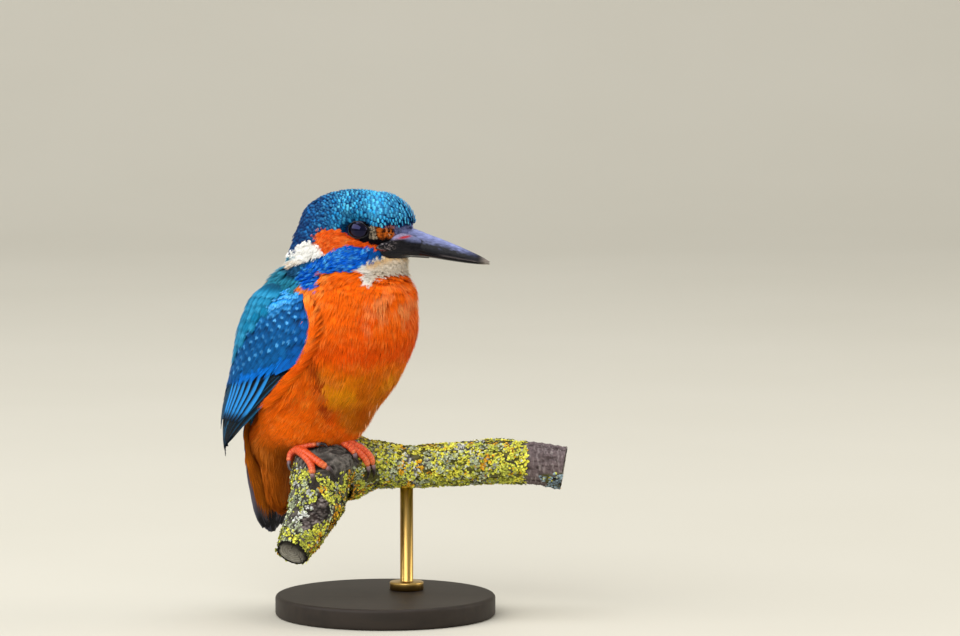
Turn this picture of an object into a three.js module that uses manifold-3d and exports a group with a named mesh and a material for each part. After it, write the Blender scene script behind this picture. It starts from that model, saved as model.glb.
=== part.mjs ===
// A common kingfisher perched on a cut length of branch, life size, held by a plain display stand.
// Millimetres, +Z up. The origin is the middle of the stand's underside. The bill points along +X.
// The body is a smooth blend of ellipsoids, meshed by rays from a path inside it. Bill, wings, tail,
// toes, claws and branch are lofts: a section carried along a path. Neighbours are cut to fit.
import * as THREE from "three";
import { mergeVertices } from "three/addons/utils/BufferGeometryUtils.js";
import Module from "manifold-3d";

const wasm = await Module();
wasm.setup();

const degrees = Math.PI / 180;
const vector = (x, y, z) => new THREE.Vector3(x, y, z);
const model = new THREE.Group();

// ---------------------------------------------------------------- driving dimensions
const clearance = 0.3; // gap between pieces that meet
const bodyFoot = vector(-23, 2, 0); // the point of the floor below the middle of the body
const bodyYaw = -36 * degrees; // the breast faces between +X and -Y
const headCentre = vector(-12.5, -5.6, 149);
const headYaw = -10 * degrees;
const neckCuts = [133.5, 123]; // heights where head, neck and trunk meet

const eye = { radius: 4.3, forward: 4.9, side: 9.6, up: -0.1, columns: 14, rows: 9 };
const bill = { root: 10, tip: 52.8, rows: 9, sides: 6 };
const tail = { foot: 30.8, top: 66, thickness: 2.2, rows: 8, sides: 4, camber: 1.6 };
const wing = { rows: 14, steps: 6, rootDepth: 5.5, tipDepth: 1.6, rim: 0.9 };
const toe = { sides: 6, clawSides: 5, clawRows: 3 };
const base = { radius: 42, height: 8, bevel: 1.2, segments: 40 };
const rod = { radius: 2.5, x: 8, y: 10.9, top: 53, collarRadius: 6.5, collarHeight: 3, segments: 14 };

const colours = {
  crown: 0x1a5fae,
  neck: 0xe9b48a,
  orange: 0xe8631a,
  thigh: 0xd85a14,
  coverts: 0x1478c8,
  flight: 0x0f4f88,
  tail: 0x123f66,
  bill: 0x24242c,
  eye: 0x0a0806,
  foot: 0xe8452a,
  claw: 0x2b2420,
  bark: 0x6b645c,
  base: 0x2a2624,
  rod: 0xb08d57,
};

// ---------------------------------------------------------------- frames and profiles
// A frame turns (forward, left, up) into a point of the model.
function frameAt(origin, yaw) {
  const forward = vector(Math.cos(yaw), Math.sin(yaw), 0);
  const left = vector(-Math.sin(yaw), Math.cos(yaw), 0);
  const point = (f, l, u) =>
    origin.clone().addScaledVector(forward, f).addScaledVector(left, l).add(vector(0, 0, u));
  return { forward, left, yaw, point };
}
const body = frameAt(bodyFoot, bodyYaw);
const head = frameAt(headCentre, headYaw);

const mix = (a, b, t) => a + (b - a) * t;
const clamp01 = (t) => Math.min(1, Math.max(0, t));
const smooth = (t) => t * t * (3 - 2 * t);

// Reads a table of rows [position, value, value...] at x, by a smooth curve through each column.
function profile(rows) {
  const last = rows.length - 1;
  return (x) => {
    let i = 0;
    while (i < last - 1 && rows[i + 1][0] < x) i++;
    const [p, q] = [rows[i], rows[i + 1]];
    const [before, after] = [rows[Math.max(0, i - 1)], rows[Math.min(last, i + 2)]];
    const t = clamp01((x - p[0]) / (q[0] - p[0]));
    const span = q[0] - p[0];
    return p.slice(1).map((value, k) => {
      const rise = ((q[k + 1] - before[k + 1]) / (q[0] - before[0])) * span;
      const next = ((after[k + 1] - value) / (after[0] - p[0])) * span;
      const a = 2 * value - 2 * q[k + 1] + rise + next;
      const b = 3 * q[k + 1] - 3 * value - 2 * rise - next;
      return value + t * (rise + t * (b + t * a));
    });
  };
}

// ---------------------------------------------------------------- closed meshes and solids
// Rings of equal length with a point at each end, as one closed geometry.
function closed(rings, first, last) {
  const n = rings[0].length;
  const points = [first, ...rings.flat(), last];
  const index = [];
  const at = (row, j) => 1 + row * n + (j % n);
  for (let j = 0; j < n; j++) {
    index.push(0, at(0, j + 1), at(0, j));
    index.push(points.length - 1, at(rings.length - 1, j), at(rings.length - 1, j + 1));
  }
  for (let row = 0; row + 1 < rings.length; row++) {
    for (let j = 0; j < n; j++) {
      index.push(at(row, j), at(row, j + 1), at(row + 1, j));
      index.push(at(row, j + 1), at(row + 1, j + 1), at(row + 1, j));
    }
  }
  const geometry = new THREE.BufferGeometry().setFromPoints(points);
  geometry.setIndex(index);
  return geometry;
}

// A closed geometry as a manifold-3d solid, turned to face out.
function solid(geometry) {
  const bare = geometry.clone();
  bare.deleteAttribute("normal");
  bare.deleteAttribute("uv");
  const merged = mergeVertices(bare, 1e-4);
  const triVerts = new Uint32Array(merged.index.array);
  const vertProperties = merged.attributes.position.array;
  const make = () => new wasm.Manifold(new wasm.Mesh({ numProp: 3, vertProperties, triVerts }));
  const made = make();
  if (made.volume() > 0) return made;
  for (let i = 0; i < triVerts.length; i += 3) {
    [triVerts[i + 1], triVerts[i + 2]] = [triVerts[i + 2], triVerts[i + 1]];
  }
  return make();
}

// The largest piece of a solid, without the crumbs that a cut can leave.
const largest = (made) =>
  made.decompose().reduce((best, piece) => (piece.volume() > best.volume() ? piece : best));

function addNode(name, made, color, roughness, metalness = 0) {
  const { vertProperties, triVerts, numProp, numVert } = largest(made).getMesh();
  const places = new Float32Array(numVert * 3);
  for (let i = 0; i < numVert; i++) {
    places.set(vertProperties.subarray(i * numProp, i * numProp + 3), i * 3);
  }
  const geometry = new THREE.BufferGeometry()
    .setAttribute("position", new THREE.BufferAttribute(places, 3))
    .setIndex(new THREE.BufferAttribute(triVerts, 1));
  const mesh = new THREE.Mesh(
    geometry,
    new THREE.MeshStandardMaterial({ color, roughness, metalness }),
  );
  mesh.name = name;
  model.add(mesh);
}

// A flat slab across everything, as thick as given, for cutting pieces apart.
function slab(centre, normal, thickness) {
  const geometry = new THREE.BoxGeometry(300, 300, thickness);
  const turn = new THREE.Quaternion().setFromUnitVectors(vector(0, 0, 1), normal.clone().normalize());
  geometry.applyQuaternion(turn).translate(centre.x, centre.y, centre.z);
  return solid(geometry);
}

// The pieces of a solid after a slab cut, lowest first.
function cutApart(made, centre, normal, thickness = clearance) {
  const height = (piece) => piece.boundingBox().min[2] + piece.boundingBox().max[2];
  return made
    .subtract(slab(centre, normal, thickness))
    .decompose()
    .filter((piece) => piece.volume() > 20)
    .sort((a, b) => height(a) - height(b));
}

// A round tube with domed ends along a smooth path through points [x, y, z, radius].
function tube(points, { growth = 0, rows = 8, sides = toe.sides }) {
  const path = new THREE.CatmullRomCurve3(points.map(([x, y, z]) => vector(x, y, z)));
  const radius = (t) => {
    const x = t * (points.length - 1);
    const i = Math.min(points.length - 2, Math.floor(x));
    return mix(points[i][3], points[i + 1][3], smooth(x - i)) + growth;
  };
  const ring = (t, scale, shift) => {
    const ahead = path.getTangent(t);
    const side = ahead.clone().cross(vector(0.2, 0.1, 1)).normalize();
    const over = side.clone().cross(ahead).normalize();
    const middle = path.getPoint(t).addScaledVector(ahead, shift * radius(t));
    return Array.from({ length: sides }, (_, j) => {
      const turn = (2 * Math.PI * j) / sides;
      const r = radius(t) * scale;
      return middle
        .clone()
        .addScaledVector(side, r * Math.cos(turn))
        .addScaledVector(over, r * Math.sin(turn));
    });
  };
  const rings = [ring(0, 0.75, -0.6)];
  for (let i = 0; i <= rows; i++) rings.push(ring(i / rows, 1, 0));
  rings.push(ring(1, 0.75, 0.6));
  const first = path.getPoint(0).addScaledVector(path.getTangent(0), -radius(0));
  const last = path.getPoint(1).addScaledVector(path.getTangent(1), radius(1));
  return solid(closed(rings, first, last));
}

// ---------------------------------------------------------------- body
// One ellipsoid: middle and radii in a frame, and a nose-down pitch in degrees.
function blob(frame, middle, radii, pitch = 0) {
  const turn = new THREE.Quaternion().setFromEuler(
    new THREE.Euler(0, pitch * degrees, frame.yaw, "ZYX"),
  );
  return { middle: frame.point(...middle), radii: vector(...radii), back: turn.invert() };
}
// The same ellipsoid on the right side and the left side.
const pair = (frame, [f, l, u], radii, pitch) =>
  [-l, l].map((side) => blob(frame, [f, side, u], radii, pitch));

const bodySoftness = 4; // how widely neighbouring ellipsoids melt together
const bodyBlobs = [
  blob(head, [2.2, 0, 3], [20.4, 10, 11.2], 1.4), // crown
  blob(head, [11, 0, -4.8], [7.5, 6, 6.9], 12.1), // forehead
  blob(head, [-15.1, 0, -10.9], [7.9, 7.9, 8.9], -31.4), // nape
  ...pair(head, [3.1, 5, -6.5], [10.3, 7, 8.4], 1.3), // cheeks
  blob(head, [11.2, 0, -13.7], [6.2, 4.1, 3], 3.8), // chin
  blob(body, [9.5, 0, 124.8], [30.3, 18.5, 8.3], 1), // neck
  blob(body, [6.1, 0, 109.7], [33.7, 25.3, 22], -4.8), // breast
  blob(body, [-14, 0, 106], [11.8, 14.4, 22.5], -8.1), // mantle
  blob(body, [0, 0, 94.8], [30.2, 24.9, 20.5], -4.7), // belly
  blob(body, [-6.4, 0, 79.1], [24.6, 14.9, 15.1], 10), // vent
  ...pair(body, [-5.5, 10, 77.4], [9.7, 8.1, 9.9], 0), // thighs
  blob(body, [-23.4, 0, 65.7], [8.1, 11.4, 10.1], 10.9), // root of the tail
  blob(body, [-21.7, 0, 49.2], [3.3, 8.3, 12.1], -4.4), // under-tail coverts
];
const bodyPath = new THREE.CatmullRomCurve3([
  headCentre.clone().add(vector(0, 0, 2)),
  body.point(10, 0, 130),
  body.point(6, 0, 110),
  body.point(-2, 0, 90),
  body.point(-13, 0, 72),
  body.point(-22, 0, 57),
  body.point(-22, 0, 42),
]);

// About how far p is outside one ellipsoid, in millimetres.
function outside(p, { middle, radii, back }) {
  const q = p.clone().sub(middle).applyQuaternion(back).divide(radii);
  const near = q.length();
  const steep = q.divide(radii).length();
  return steep < 1e-9 ? -Math.min(...radii.toArray()) : (near * (near - 1)) / steep;
}
// The soft minimum of those distances is the blend's own distance.
const bodyDistance = (p) =>
  -bodySoftness *
  Math.log(bodyBlobs.reduce((sum, b) => sum + Math.exp(-outside(p, b) / bodySoftness), 0));

// Where a ray from inside leaves the blend grown by growth.
function leave(start, direction, growth) {
  const step = 1.5;
  const at = (r) => bodyDistance(start.clone().addScaledVector(direction, r)) - growth;
  let high = step;
  while (at(high) < 0) high += step;
  let low = high - step;
  for (let i = 0; i < 16; i++) {
    const r = (low + high) / 2;
    if (at(r) < 0) low = r;
    else high = r;
  }
  return start.clone().addScaledVector(direction, high);
}

// Rows of rays round the path, fanned to a pole at each end.
function bodySolid(growth, rows = 19, capRows = 4, columns = 24) {
  const ringAt = (t, tilt) => {
    const start = bodyPath.getPointAt(t);
    const down = bodyPath.getTangentAt(t);
    const side = down.clone().cross(body.forward).normalize();
    const front = side.clone().cross(down).normalize();
    return Array.from({ length: columns }, (_, j) => {
      const turn = (2 * Math.PI * j) / columns;
      const flat = front.clone().multiplyScalar(Math.cos(turn)).addScaledVector(side, Math.sin(turn));
      const ray = flat.multiplyScalar(Math.cos(tilt)).addScaledVector(down, Math.sin(tilt));
      return leave(start, ray, growth);
    });
  };
  const tilt = (i) => (90 * i * degrees) / (capRows + 1);
  const rings = [];
  for (let i = capRows; i > 0; i--) rings.push(ringAt(0, -tilt(i)));
  for (let i = 0; i <= rows; i++) rings.push(ringAt(i / rows, 0));
  for (let i = 1; i <= capRows; i++) rings.push(ringAt(1, tilt(i)));
  const top = leave(bodyPath.getPointAt(0), bodyPath.getTangentAt(0).negate(), growth);
  const end = leave(bodyPath.getPointAt(1), bodyPath.getTangentAt(1), growth);
  return solid(closed(rings, top, end));
}
const bodyWhole = bodySolid(0);
const bodyGrown = bodySolid(clearance);

// ---------------------------------------------------------------- branch
// A sawn stub points down and to the front, a knuckle carries the feet, the main arm runs along +X.
const branchLine = [
  [-35, -16, 26.5, 6.6],
  [-30.2, -12.3, 35, 8.4],
  [-25.9, -7.6, 44.6, 10.4],
  [-22.9, -1.7, 55.4, 12.1],
  [-14.2, 5.3, 57.4, 11.2],
  [-4, 8.5, 56.7, 8.9],
  [9, 11, 55.6, 8],
  [26, 12, 56.4, 8.2],
  [44, 12, 57.4, 8.4],
  [58, 11.5, 56.6, 8.1],
  [68, 11, 55, 8.2],
];
const branchPath = new THREE.CatmullRomCurve3(branchLine.map(([x, y, z]) => vector(x, y, z)));

// The stub's end is a slanted saw cut that dies away over `reach` along the branch.
const saw = { slant: 0.38, reach: 13 };
const cutFront = (ahead) => vector(0, -1, 0).addScaledVector(ahead, ahead.y).normalize();
function branchSolid(growth, rows = 24, columns = 13) {
  const rings = [];
  for (let i = 0; i <= rows; i++) {
    const x = (i / rows) * (branchLine.length - 1);
    const k = Math.min(branchLine.length - 2, Math.floor(x));
    const radius = mix(branchLine[k][3], branchLine[k + 1][3], smooth(x - k)) + growth;
    const ahead = branchPath.getTangent(i / rows);
    const side = ahead.clone().cross(vector(0, 0, 1)).normalize();
    const over = side.clone().cross(ahead).normalize();
    const centre = branchPath.getPoint(i / rows);
    const shear = saw.slant * Math.max(0, 1 - centre.distanceTo(branchPath.getPoint(0)) / saw.reach) ** 2;
    const front = cutFront(ahead);
    rings.push(
      Array.from({ length: columns }, (_, j) => {
        const turn = (2 * Math.PI * j) / columns;
        const offset = side.clone().multiplyScalar(radius * Math.cos(turn));
        offset.addScaledVector(over, radius * Math.sin(turn));
        return centre.clone().add(offset).addScaledVector(ahead, shear * offset.dot(front));
      }),
    );
  }
  const ends = [0, 1].map((t) =>
    branchPath.getPoint(t).addScaledVector(branchPath.getTangent(t), growth * (2 * t - 1)),
  );
  return solid(closed(rings, ...ends));
}
const branchGrown = branchSolid(clearance);

// ---------------------------------------------------------------- eyes and bill
const eyeSolid = (side, growth) => {
  const ball = new THREE.SphereGeometry(eye.radius + growth, eye.columns, eye.rows);
  const centre = head.point(eye.forward, side * eye.side, eye.up);
  return solid(ball.translate(centre.x, centre.y, centre.z));
};

// Forward position, then heights of the ridge, the mouth line and the keel, and half the width.
const billShape = profile([
  [10, -2.4, -6.5, -9.8, 5.4],
  [16, -0.6, -6.9, -10.4, 5.2],
  [22, 0.3, -7.6, -10.5, 4.5],
  [30, -2.3, -9.3, -11, 3.5],
  [38, -5.2, -10.7, -12.1, 2.7],
  [45.5, -8.3, -11.9, -13, 1.9],
  [50.5, -10.6, -12.6, -13.3, 1.1],
  [52.8, -12, -12.7, -13.2, 0.4],
]);
// The upper half is a ridged dome, the lower a shallow keel, on either side of the mouth line.
function billSolid(upper, growth = 0) {
  const rings = [];
  for (let i = 0; i <= bill.rows; i++) {
    const f = mix(bill.root, bill.tip, i / bill.rows);
    const [ridge, mouth, keel, half] = billShape(f);
    const flat = upper ? mouth + clearance / 2 - growth : mouth - clearance / 2 + growth;
    const crest = upper ? Math.max(ridge, flat + 0.5) + growth : Math.min(keel, flat - 0.5) - growth;
    const arc = [];
    for (let j = 0; j <= bill.sides; j++) {
      const turn = (Math.PI * j) / bill.sides;
      const l = (half + growth) * Math.cos(turn) * (1 - 0.18 * Math.sin(turn));
      arc.push(head.point(f, l, mix(flat, crest, Math.sin(turn) ** 0.85)));
    }
    const back = [2, 1, 0, -1, -2].map((k) => head.point(f, (-k * half) / 3, flat));
    rings.push([...arc, ...back]);
  }
  const centreOf = (ring) =>
    ring.reduce((sum, p) => sum.add(p), vector(0, 0, 0)).divideScalar(ring.length);
  const first = centreOf(rings[0]).addScaledVector(head.forward, -growth);
  const last = centreOf(rings[bill.rows]).addScaledVector(head.forward, 0.4 + growth);
  return solid(closed(rings, first, last));
}

// ---------------------------------------------------------------- wings
// Height, then forward and side of the front edge, forward and side of the back edge.
const wingShape = profile([
  [61.5, -36.2, 16, -37, 15.4],
  [64, -33.5, 18.6, -37.6, 13.8],
  [67, -29.5, 20.3, -38.4, 12],
  [72, -23.2, 22.3, -39.2, 10.6],
  [78, -15.4, 24.3, -39, 9.6],
  [84.6, -7.2, 25.9, -37.7, 8.6],
  [91, 0, 27.2, -36.2, 7.8],
  [97, 6, 27.9, -34.8, 7.2],
  [103, 10.6, 28.3, -33.8, 7],
  [109, 13, 28, -32.4, 7.4],
  [115, 13, 27, -29.6, 8.2],
  [121, 9.8, 25, -25.4, 10],
  [126, 3, 20.6, -18.6, 12.6],
  [128.2, -4, 18.4, -13, 15],
]);
const wingFoot = 61.5;
const wingTop = 128.2;
// Each level runs from the front edge round the body's corner to the back edge, and returns inside.
function wingSolid(side) {
  const rings = [];
  const levelPoint = ([ff, fl, bf, bl], w) => {
    const corner = [bf, fl * 0.97];
    const [p, q, r] = [(1 - w) ** 2, 2 * w * (1 - w), w ** 2];
    return [p * ff + q * corner[0] + r * bf, p * fl + q * corner[1] + r * bl];
  };
  for (let i = 0; i <= wing.rows; i++) {
    const t = i / wing.rows;
    const up = mix(wingFoot, wingTop, t);
    const level = wingShape(up);
    const depth = mix(wing.tipDepth, wing.rootDepth, smooth(clamp01((t - 0.1) / 0.4)));
    const outer = [];
    const inner = [];
    for (let j = 0; j <= wing.steps; j++) {
      const w = j / wing.steps;
      const [f, l] = levelPoint(level, w);
      const [f2, l2] = levelPoint(level, Math.min(1, w + 0.01));
      const [f1, l1] = levelPoint(level, Math.max(0, w - 0.01));
      const away = Math.hypot(f2 - f1, l2 - l1) || 1;
      const inset = wing.rim + (depth - wing.rim) * Math.min(1, 3 * w, 3 * (1 - w));
      const [inF, inL] = [-(l2 - l1) / away, (f2 - f1) / away];
      outer.push(body.point(f, side * l, up));
      inner.unshift(body.point(f + inF * inset, side * (l + inL * inset), up));
    }
    rings.push([...outer, ...inner]);
  }
  const middle = (ring) =>
    ring.reduce((sum, p) => sum.add(p), vector(0, 0, 0)).divideScalar(ring.length);
  return solid(closed(rings, middle(rings[0]), middle(rings[wing.rows])));
}

// ---------------------------------------------------------------- tail
// Height, then forward position and half the width.
const tailShape = profile([
  [30.8, -25.4, 3.5],
  [32.6, -25.7, 7.6],
  [38, -26.6, 10.2],
  [46, -28.4, 10.4],
  [56, -31.4, 10],
  [66, -33.4, 8.8],
]);
function tailSolid() {
  const rings = [];
  for (let i = 0; i <= tail.rows; i++) {
    const up = mix(tail.foot, tail.top, (i / tail.rows) ** 1.3);
    const [forward, half] = tailShape(up);
    const face = (offset) => (_, j) => {
      const w = (2 * j) / tail.sides - 1;
      return body.point(forward + tail.camber * w * w + offset * (1 - 0.5 * w * w), half * w, up);
    };
    const slots = { length: tail.sides + 1 };
    const front = Array.from(slots, face(tail.thickness / 2));
    const back = Array.from(slots, face(-tail.thickness / 2)).reverse();
    rings.push([...front, ...back]);
  }
  const middle = (ring) =>
    ring.reduce((sum, p) => sum.add(p), vector(0, 0, 0)).divideScalar(ring.length);
  return solid(closed(rings, middle(rings[0]), middle(rings[tail.rows])));
}

// ---------------------------------------------------------------- feet
// Two front toes are joined for most of their length, the inner toe is short, one toe points back.
const feet = {
  r: {
    shank: [[-30.5, 1.5, 76, 1.7], [-31.8, -1.5, 70.5, 1.5], [-33.2, -4.8, 65.6, 1.6]],
    middle: [
      [-33.2, -5.6, 64.6, 1.6], [-30.6, -9.6, 63.9, 1.5], [-27.2, -13.2, 62, 1.4],
      [-24.3, -15, 60.2, 1.35], [-21.9, -15.2, 58.6, 1.15],
    ],
    outer: [
      [-33.2, -5.8, 64.2, 1.6], [-30.2, -11.4, 62.4, 1.45], [-28.2, -14.4, 60, 1.3],
      [-27.5, -15.6, 58, 1.25], [-27.4, -16.3, 56.2, 1.05],
    ],
    inner: [[-32.8, -5.6, 65, 1.4], [-29.6, -8, 66, 1.2], [-25.8, -8.8, 66.8, 0.95]],
    hind: [[-33.4, -5.2, 64.4, 1.5], [-35.8, -4.6, 62.4, 1.3], [-36.5, -5.8, 59.6, 1.05]],
  },
  l: {
    shank: [[-17.5, 2.2, 78, 1.7], [-17.8, 0.8, 74, 1.5], [-18.4, -1.6, 70.6, 1.6]],
    middle: [
      [-18.4, -2, 69.9, 1.6], [-15, -5.2, 67.8, 1.5], [-11.8, -5, 66.1, 1.4],
      [-8.2, -4, 63.9, 1.35], [-5.6, -3.3, 61, 1.3], [-4.5, -2.8, 57.9, 1.1],
    ],
    outer: [
      [-18.4, -2.4, 69.6, 1.6], [-15.6, -6.6, 66.9, 1.4], [-12.4, -6.4, 65, 1.3],
      [-9.4, -5.6, 62.6, 1.25], [-7.4, -5, 60.2, 1.2], [-6.4, -4.4, 57.6, 1.05],
    ],
    inner: [[-17.6, -4.4, 68.3, 1.3], [-13.6, -7.2, 65.3, 1.1], [-11.6, -7.3, 62.8, 0.9]],
    hind: [[-18.6, -1.4, 69.8, 1.5], [-21.2, 1.6, 69.8, 1.3], [-23.2, 5.2, 68.6, 1.05]],
  },
};
const claws = {
  r: {
    middle: [[-20.6, -15, 57.6, 0.75], [-19.7, -14.2, 56, 0.5], [-19.6, -13.2, 54.6, 0.25]],
    outer: [[-27.2, -16.6, 54.4, 0.7], [-27, -16.2, 52.6, 0.5], [-27, -15, 51.2, 0.25]],
    inner: [[-24.2, -8.6, 67, 0.7], [-22.8, -8.8, 66.6, 0.5], [-21.8, -9.4, 65.6, 0.25]],
    hind: [[-36.4, -7.2, 58, 0.7], [-35.8, -8.6, 57, 0.5], [-34.9, -9.8, 56.6, 0.25]],
  },
  l: {
    middle: [[-4.2, -2.2, 56, 0.7], [-4.2, -1.4, 54.2, 0.5], [-4.6, -0.4, 53, 0.25]],
    outer: [[-6.2, -3.8, 55.6, 0.7], [-6.6, -2.8, 53.8, 0.5], [-7.4, -1.8, 52.6, 0.25]],
    inner: [[-11, -7, 61.1, 0.65], [-10.6, -6.4, 59.8, 0.45], [-10.6, -5.6, 58.8, 0.25]],
    hind: [[-23.8, 6.8, 67.6, 0.7], [-23.8, 8, 66.4, 0.5], [-23.4, 9, 65.4, 0.25]],
  },
};
const footSolid = (parts, growth) =>
  Object.values(parts)
    .map((points) => tube(points, { growth, rows: points.length }))
    .reduce((whole, piece) => whole.add(piece));

// ---------------------------------------------------------------- nodes
const eyesGrown = eyeSolid(-1, clearance).add(eyeSolid(1, clearance));
const billGrown = billSolid(true, clearance).add(billSolid(false, clearance));
const feetGrown = footSolid(feet.r, clearance).add(footSolid(feet.l, clearance));
const clawSolid = (points, growth) => tube(points, { growth, rows: toe.clawRows, sides: toe.clawSides });
const clawsGrown = Object.values(claws)
  .flatMap((set) => Object.values(set))
  .map((points) => clawSolid(points, clearance))
  .reduce((whole, piece) => whole.add(piece));

const thighRegion = (side, growth) => {
  const ball = new THREE.SphereGeometry(1, 12, 8);
  ball.scale(15 + growth, 13 + growth, 12 + growth).rotateZ(bodyYaw);
  const centre = body.point(-7, side * 17, 73);
  return solid(ball.translate(centre.x, centre.y, centre.z));
};
const tailPiece = tailSolid();

const flesh = bodyWhole
  .subtract(branchGrown)
  .subtract(eyesGrown)
  .subtract(billGrown)
  .subtract(feetGrown)
  .subtract(clawsGrown);
const [lower, headPiece] = cutApart(flesh, vector(0, 0, neckCuts[0]), vector(0, 0, 1));
const [trunkWhole, neckPiece] = cutApart(lower, vector(0, 0, neckCuts[1]), vector(0, 0, 1));
const trunkPiece = trunkWhole
  .subtract(thighRegion(-1, clearance))
  .subtract(thighRegion(1, clearance));

addNode("head", headPiece, colours.crown, 0.7);
addNode("neck", neckPiece, colours.neck, 0.8);
addNode("trunk", trunkPiece, colours.orange, 0.8);
addNode("bill_upper", billSolid(true), colours.bill, 0.35);
addNode("bill_lower", billSolid(false), colours.bill, 0.4);
addNode("tail", tailPiece.subtract(bodyGrown), colours.tail, 0.6);
for (const [letter, side] of [["r", -1], ["l", 1]]) {
  addNode(`eye_${letter}`, eyeSolid(side, 0), colours.eye, 0.05);
  const thigh = trunkWhole.intersect(thighRegion(side, 0));
  addNode(`thigh_${letter}`, thigh, colours.thigh, 0.85);
  const folded = wingSolid(side).subtract(bodyGrown).subtract(branchGrown);
  const hinge = body.point(-16, 0, 92.5);
  const across = body.forward.clone().multiplyScalar(-0.125).add(vector(0, 0, 1));
  const [flight, coverts] = cutApart(folded, hinge, across);
  addNode(`wing_${letter}_coverts`, coverts, colours.coverts, 0.55);
  addNode(`wing_${letter}_flight`, flight, colours.flight, 0.5);
  addNode(`foot_${letter}`, footSolid(feet[letter], 0).subtract(branchGrown), colours.foot, 0.5);
  for (const [name, points] of Object.entries(claws[letter])) {
    const claw = clawSolid(points, 0).subtract(branchGrown).subtract(feetGrown);
    addNode(`claw_${letter}_${name}`, claw, colours.claw, 0.35);
  }
}

// ---------------------------------------------------------------- perch and stand
const rodProfile = (growth) => [
  [0, base.height + clearance - growth],
  [rod.collarRadius + growth, base.height + clearance - growth],
  [rod.collarRadius + growth, base.height + clearance + rod.collarHeight - 1],
  [rod.collarRadius - 1 + growth, base.height + clearance + rod.collarHeight + growth],
  [rod.radius + growth, base.height + clearance + rod.collarHeight + growth],
  [rod.radius + growth, rod.top + growth],
  [0, rod.top + growth],
];
const turned = (points, segments, x = 0, y = 0) => {
  const outline = points.map(([r, z]) => new THREE.Vector2(r, z));
  return solid(new THREE.LatheGeometry(outline, segments).rotateX(Math.PI / 2).translate(x, y, 0));
};
const perch = branchSolid(0).subtract(turned(rodProfile(clearance), rod.segments, rod.x, rod.y));
addNode("perch", perch, colours.bark, 0.9);
addNode("stand_rod", turned(rodProfile(0), rod.segments, rod.x, rod.y), colours.rod, 0.3, 1);
const baseProfile = [
  [0, 0],
  [base.radius - base.bevel / 2, 0],
  [base.radius, base.bevel / 2],
  [base.radius, base.height - base.bevel],
  [base.radius - base.bevel, base.height],
  [0, base.height],
];
addNode("stand_base", turned(baseProfile, base.segments), colours.base, 0.45);

export default model;
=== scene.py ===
# A common kingfisher in life size on a cut length of lichened branch, held by a lacquered stand.
# Everything below works in millimetres in the part's own frame and turns to metres when a mesh is made.
import bpy
import numpy as np
from mathutils import Matrix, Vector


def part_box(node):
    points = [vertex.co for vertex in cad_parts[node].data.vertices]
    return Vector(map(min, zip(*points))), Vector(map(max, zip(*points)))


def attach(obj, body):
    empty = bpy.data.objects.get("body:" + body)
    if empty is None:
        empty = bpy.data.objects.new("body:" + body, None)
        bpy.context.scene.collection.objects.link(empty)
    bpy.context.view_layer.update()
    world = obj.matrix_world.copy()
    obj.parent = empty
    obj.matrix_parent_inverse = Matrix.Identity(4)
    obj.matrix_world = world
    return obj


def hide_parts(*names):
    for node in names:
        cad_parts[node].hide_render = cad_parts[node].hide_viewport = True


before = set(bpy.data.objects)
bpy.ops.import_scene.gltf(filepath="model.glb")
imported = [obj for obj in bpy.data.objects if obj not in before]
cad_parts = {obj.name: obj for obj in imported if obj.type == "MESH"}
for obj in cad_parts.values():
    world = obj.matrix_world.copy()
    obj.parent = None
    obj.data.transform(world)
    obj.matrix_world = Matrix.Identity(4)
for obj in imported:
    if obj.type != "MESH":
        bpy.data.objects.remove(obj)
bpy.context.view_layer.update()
scene = bpy.context.scene
scene.view_settings.view_transform = "Standard"
metre = 0.001  # one millimetre in metres


# Small tools for numbers.
def unit(vectors):  # each vector divided by its own length
    return vectors / np.maximum(np.linalg.norm(vectors, axis=-1, keepdims=True), 1e-9)


def ease(low, high, x):  # 0 below low, 1 above high, and t*t*(3-2t) between
    t = np.clip((x - low) / (high - low), 0, 1)
    return t * t * (3 - 2 * t)


def bell(x, middle, width):  # 1 at the middle, falling as e^-(distance/width)^2
    return np.exp(-((x - middle) / width) ** 2)


def blendTo(a, b, t):  # a moved towards b by the share t, for colours and other rows of numbers
    return a + (b - a) * np.asarray(t)[..., None]


def linearColour(code):  # sRGB hex to linear light: c/12.92 when dark, else ((c+0.055)/1.055)^2.4
    parts = np.array([int(code[i:i + 2], 16) / 255 for i in (1, 3, 5)])
    return np.where(parts <= 0.04045, parts / 12.92, ((parts + 0.055) / 1.055) ** 2.4)


def linearTable(colours):  # every hex colour of a dictionary in linear light
    return {name: linearColour(code) for name, code in colours.items()}


def softNoise(points, size, seed):  # random numbers at the corners of cubes of that size, eased between them
    cell = points / size
    low = np.floor(cell).astype(np.int64)
    share = cell - low
    share = share * share * (3 - 2 * share)
    total = np.zeros(points.shape[:-1])
    for corner in np.ndindex(2, 2, 2):
        at = low + np.array(corner)
        mixed = (at[..., 0] * 73856093) ^ (at[..., 1] * 19349663) ^ (at[..., 2] * 83492791) ^ (seed * 2654435)
        mixed = ((mixed ^ (mixed >> 13)) * 1274126177) & 0x7FFFFFFF
        value = ((mixed ^ (mixed >> 16)) & 0xFFFF) / 65535
        weight = np.prod(np.where(np.array(corner) == 1, share, 1 - share), axis=-1)
        total += value * weight
    return total


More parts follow.
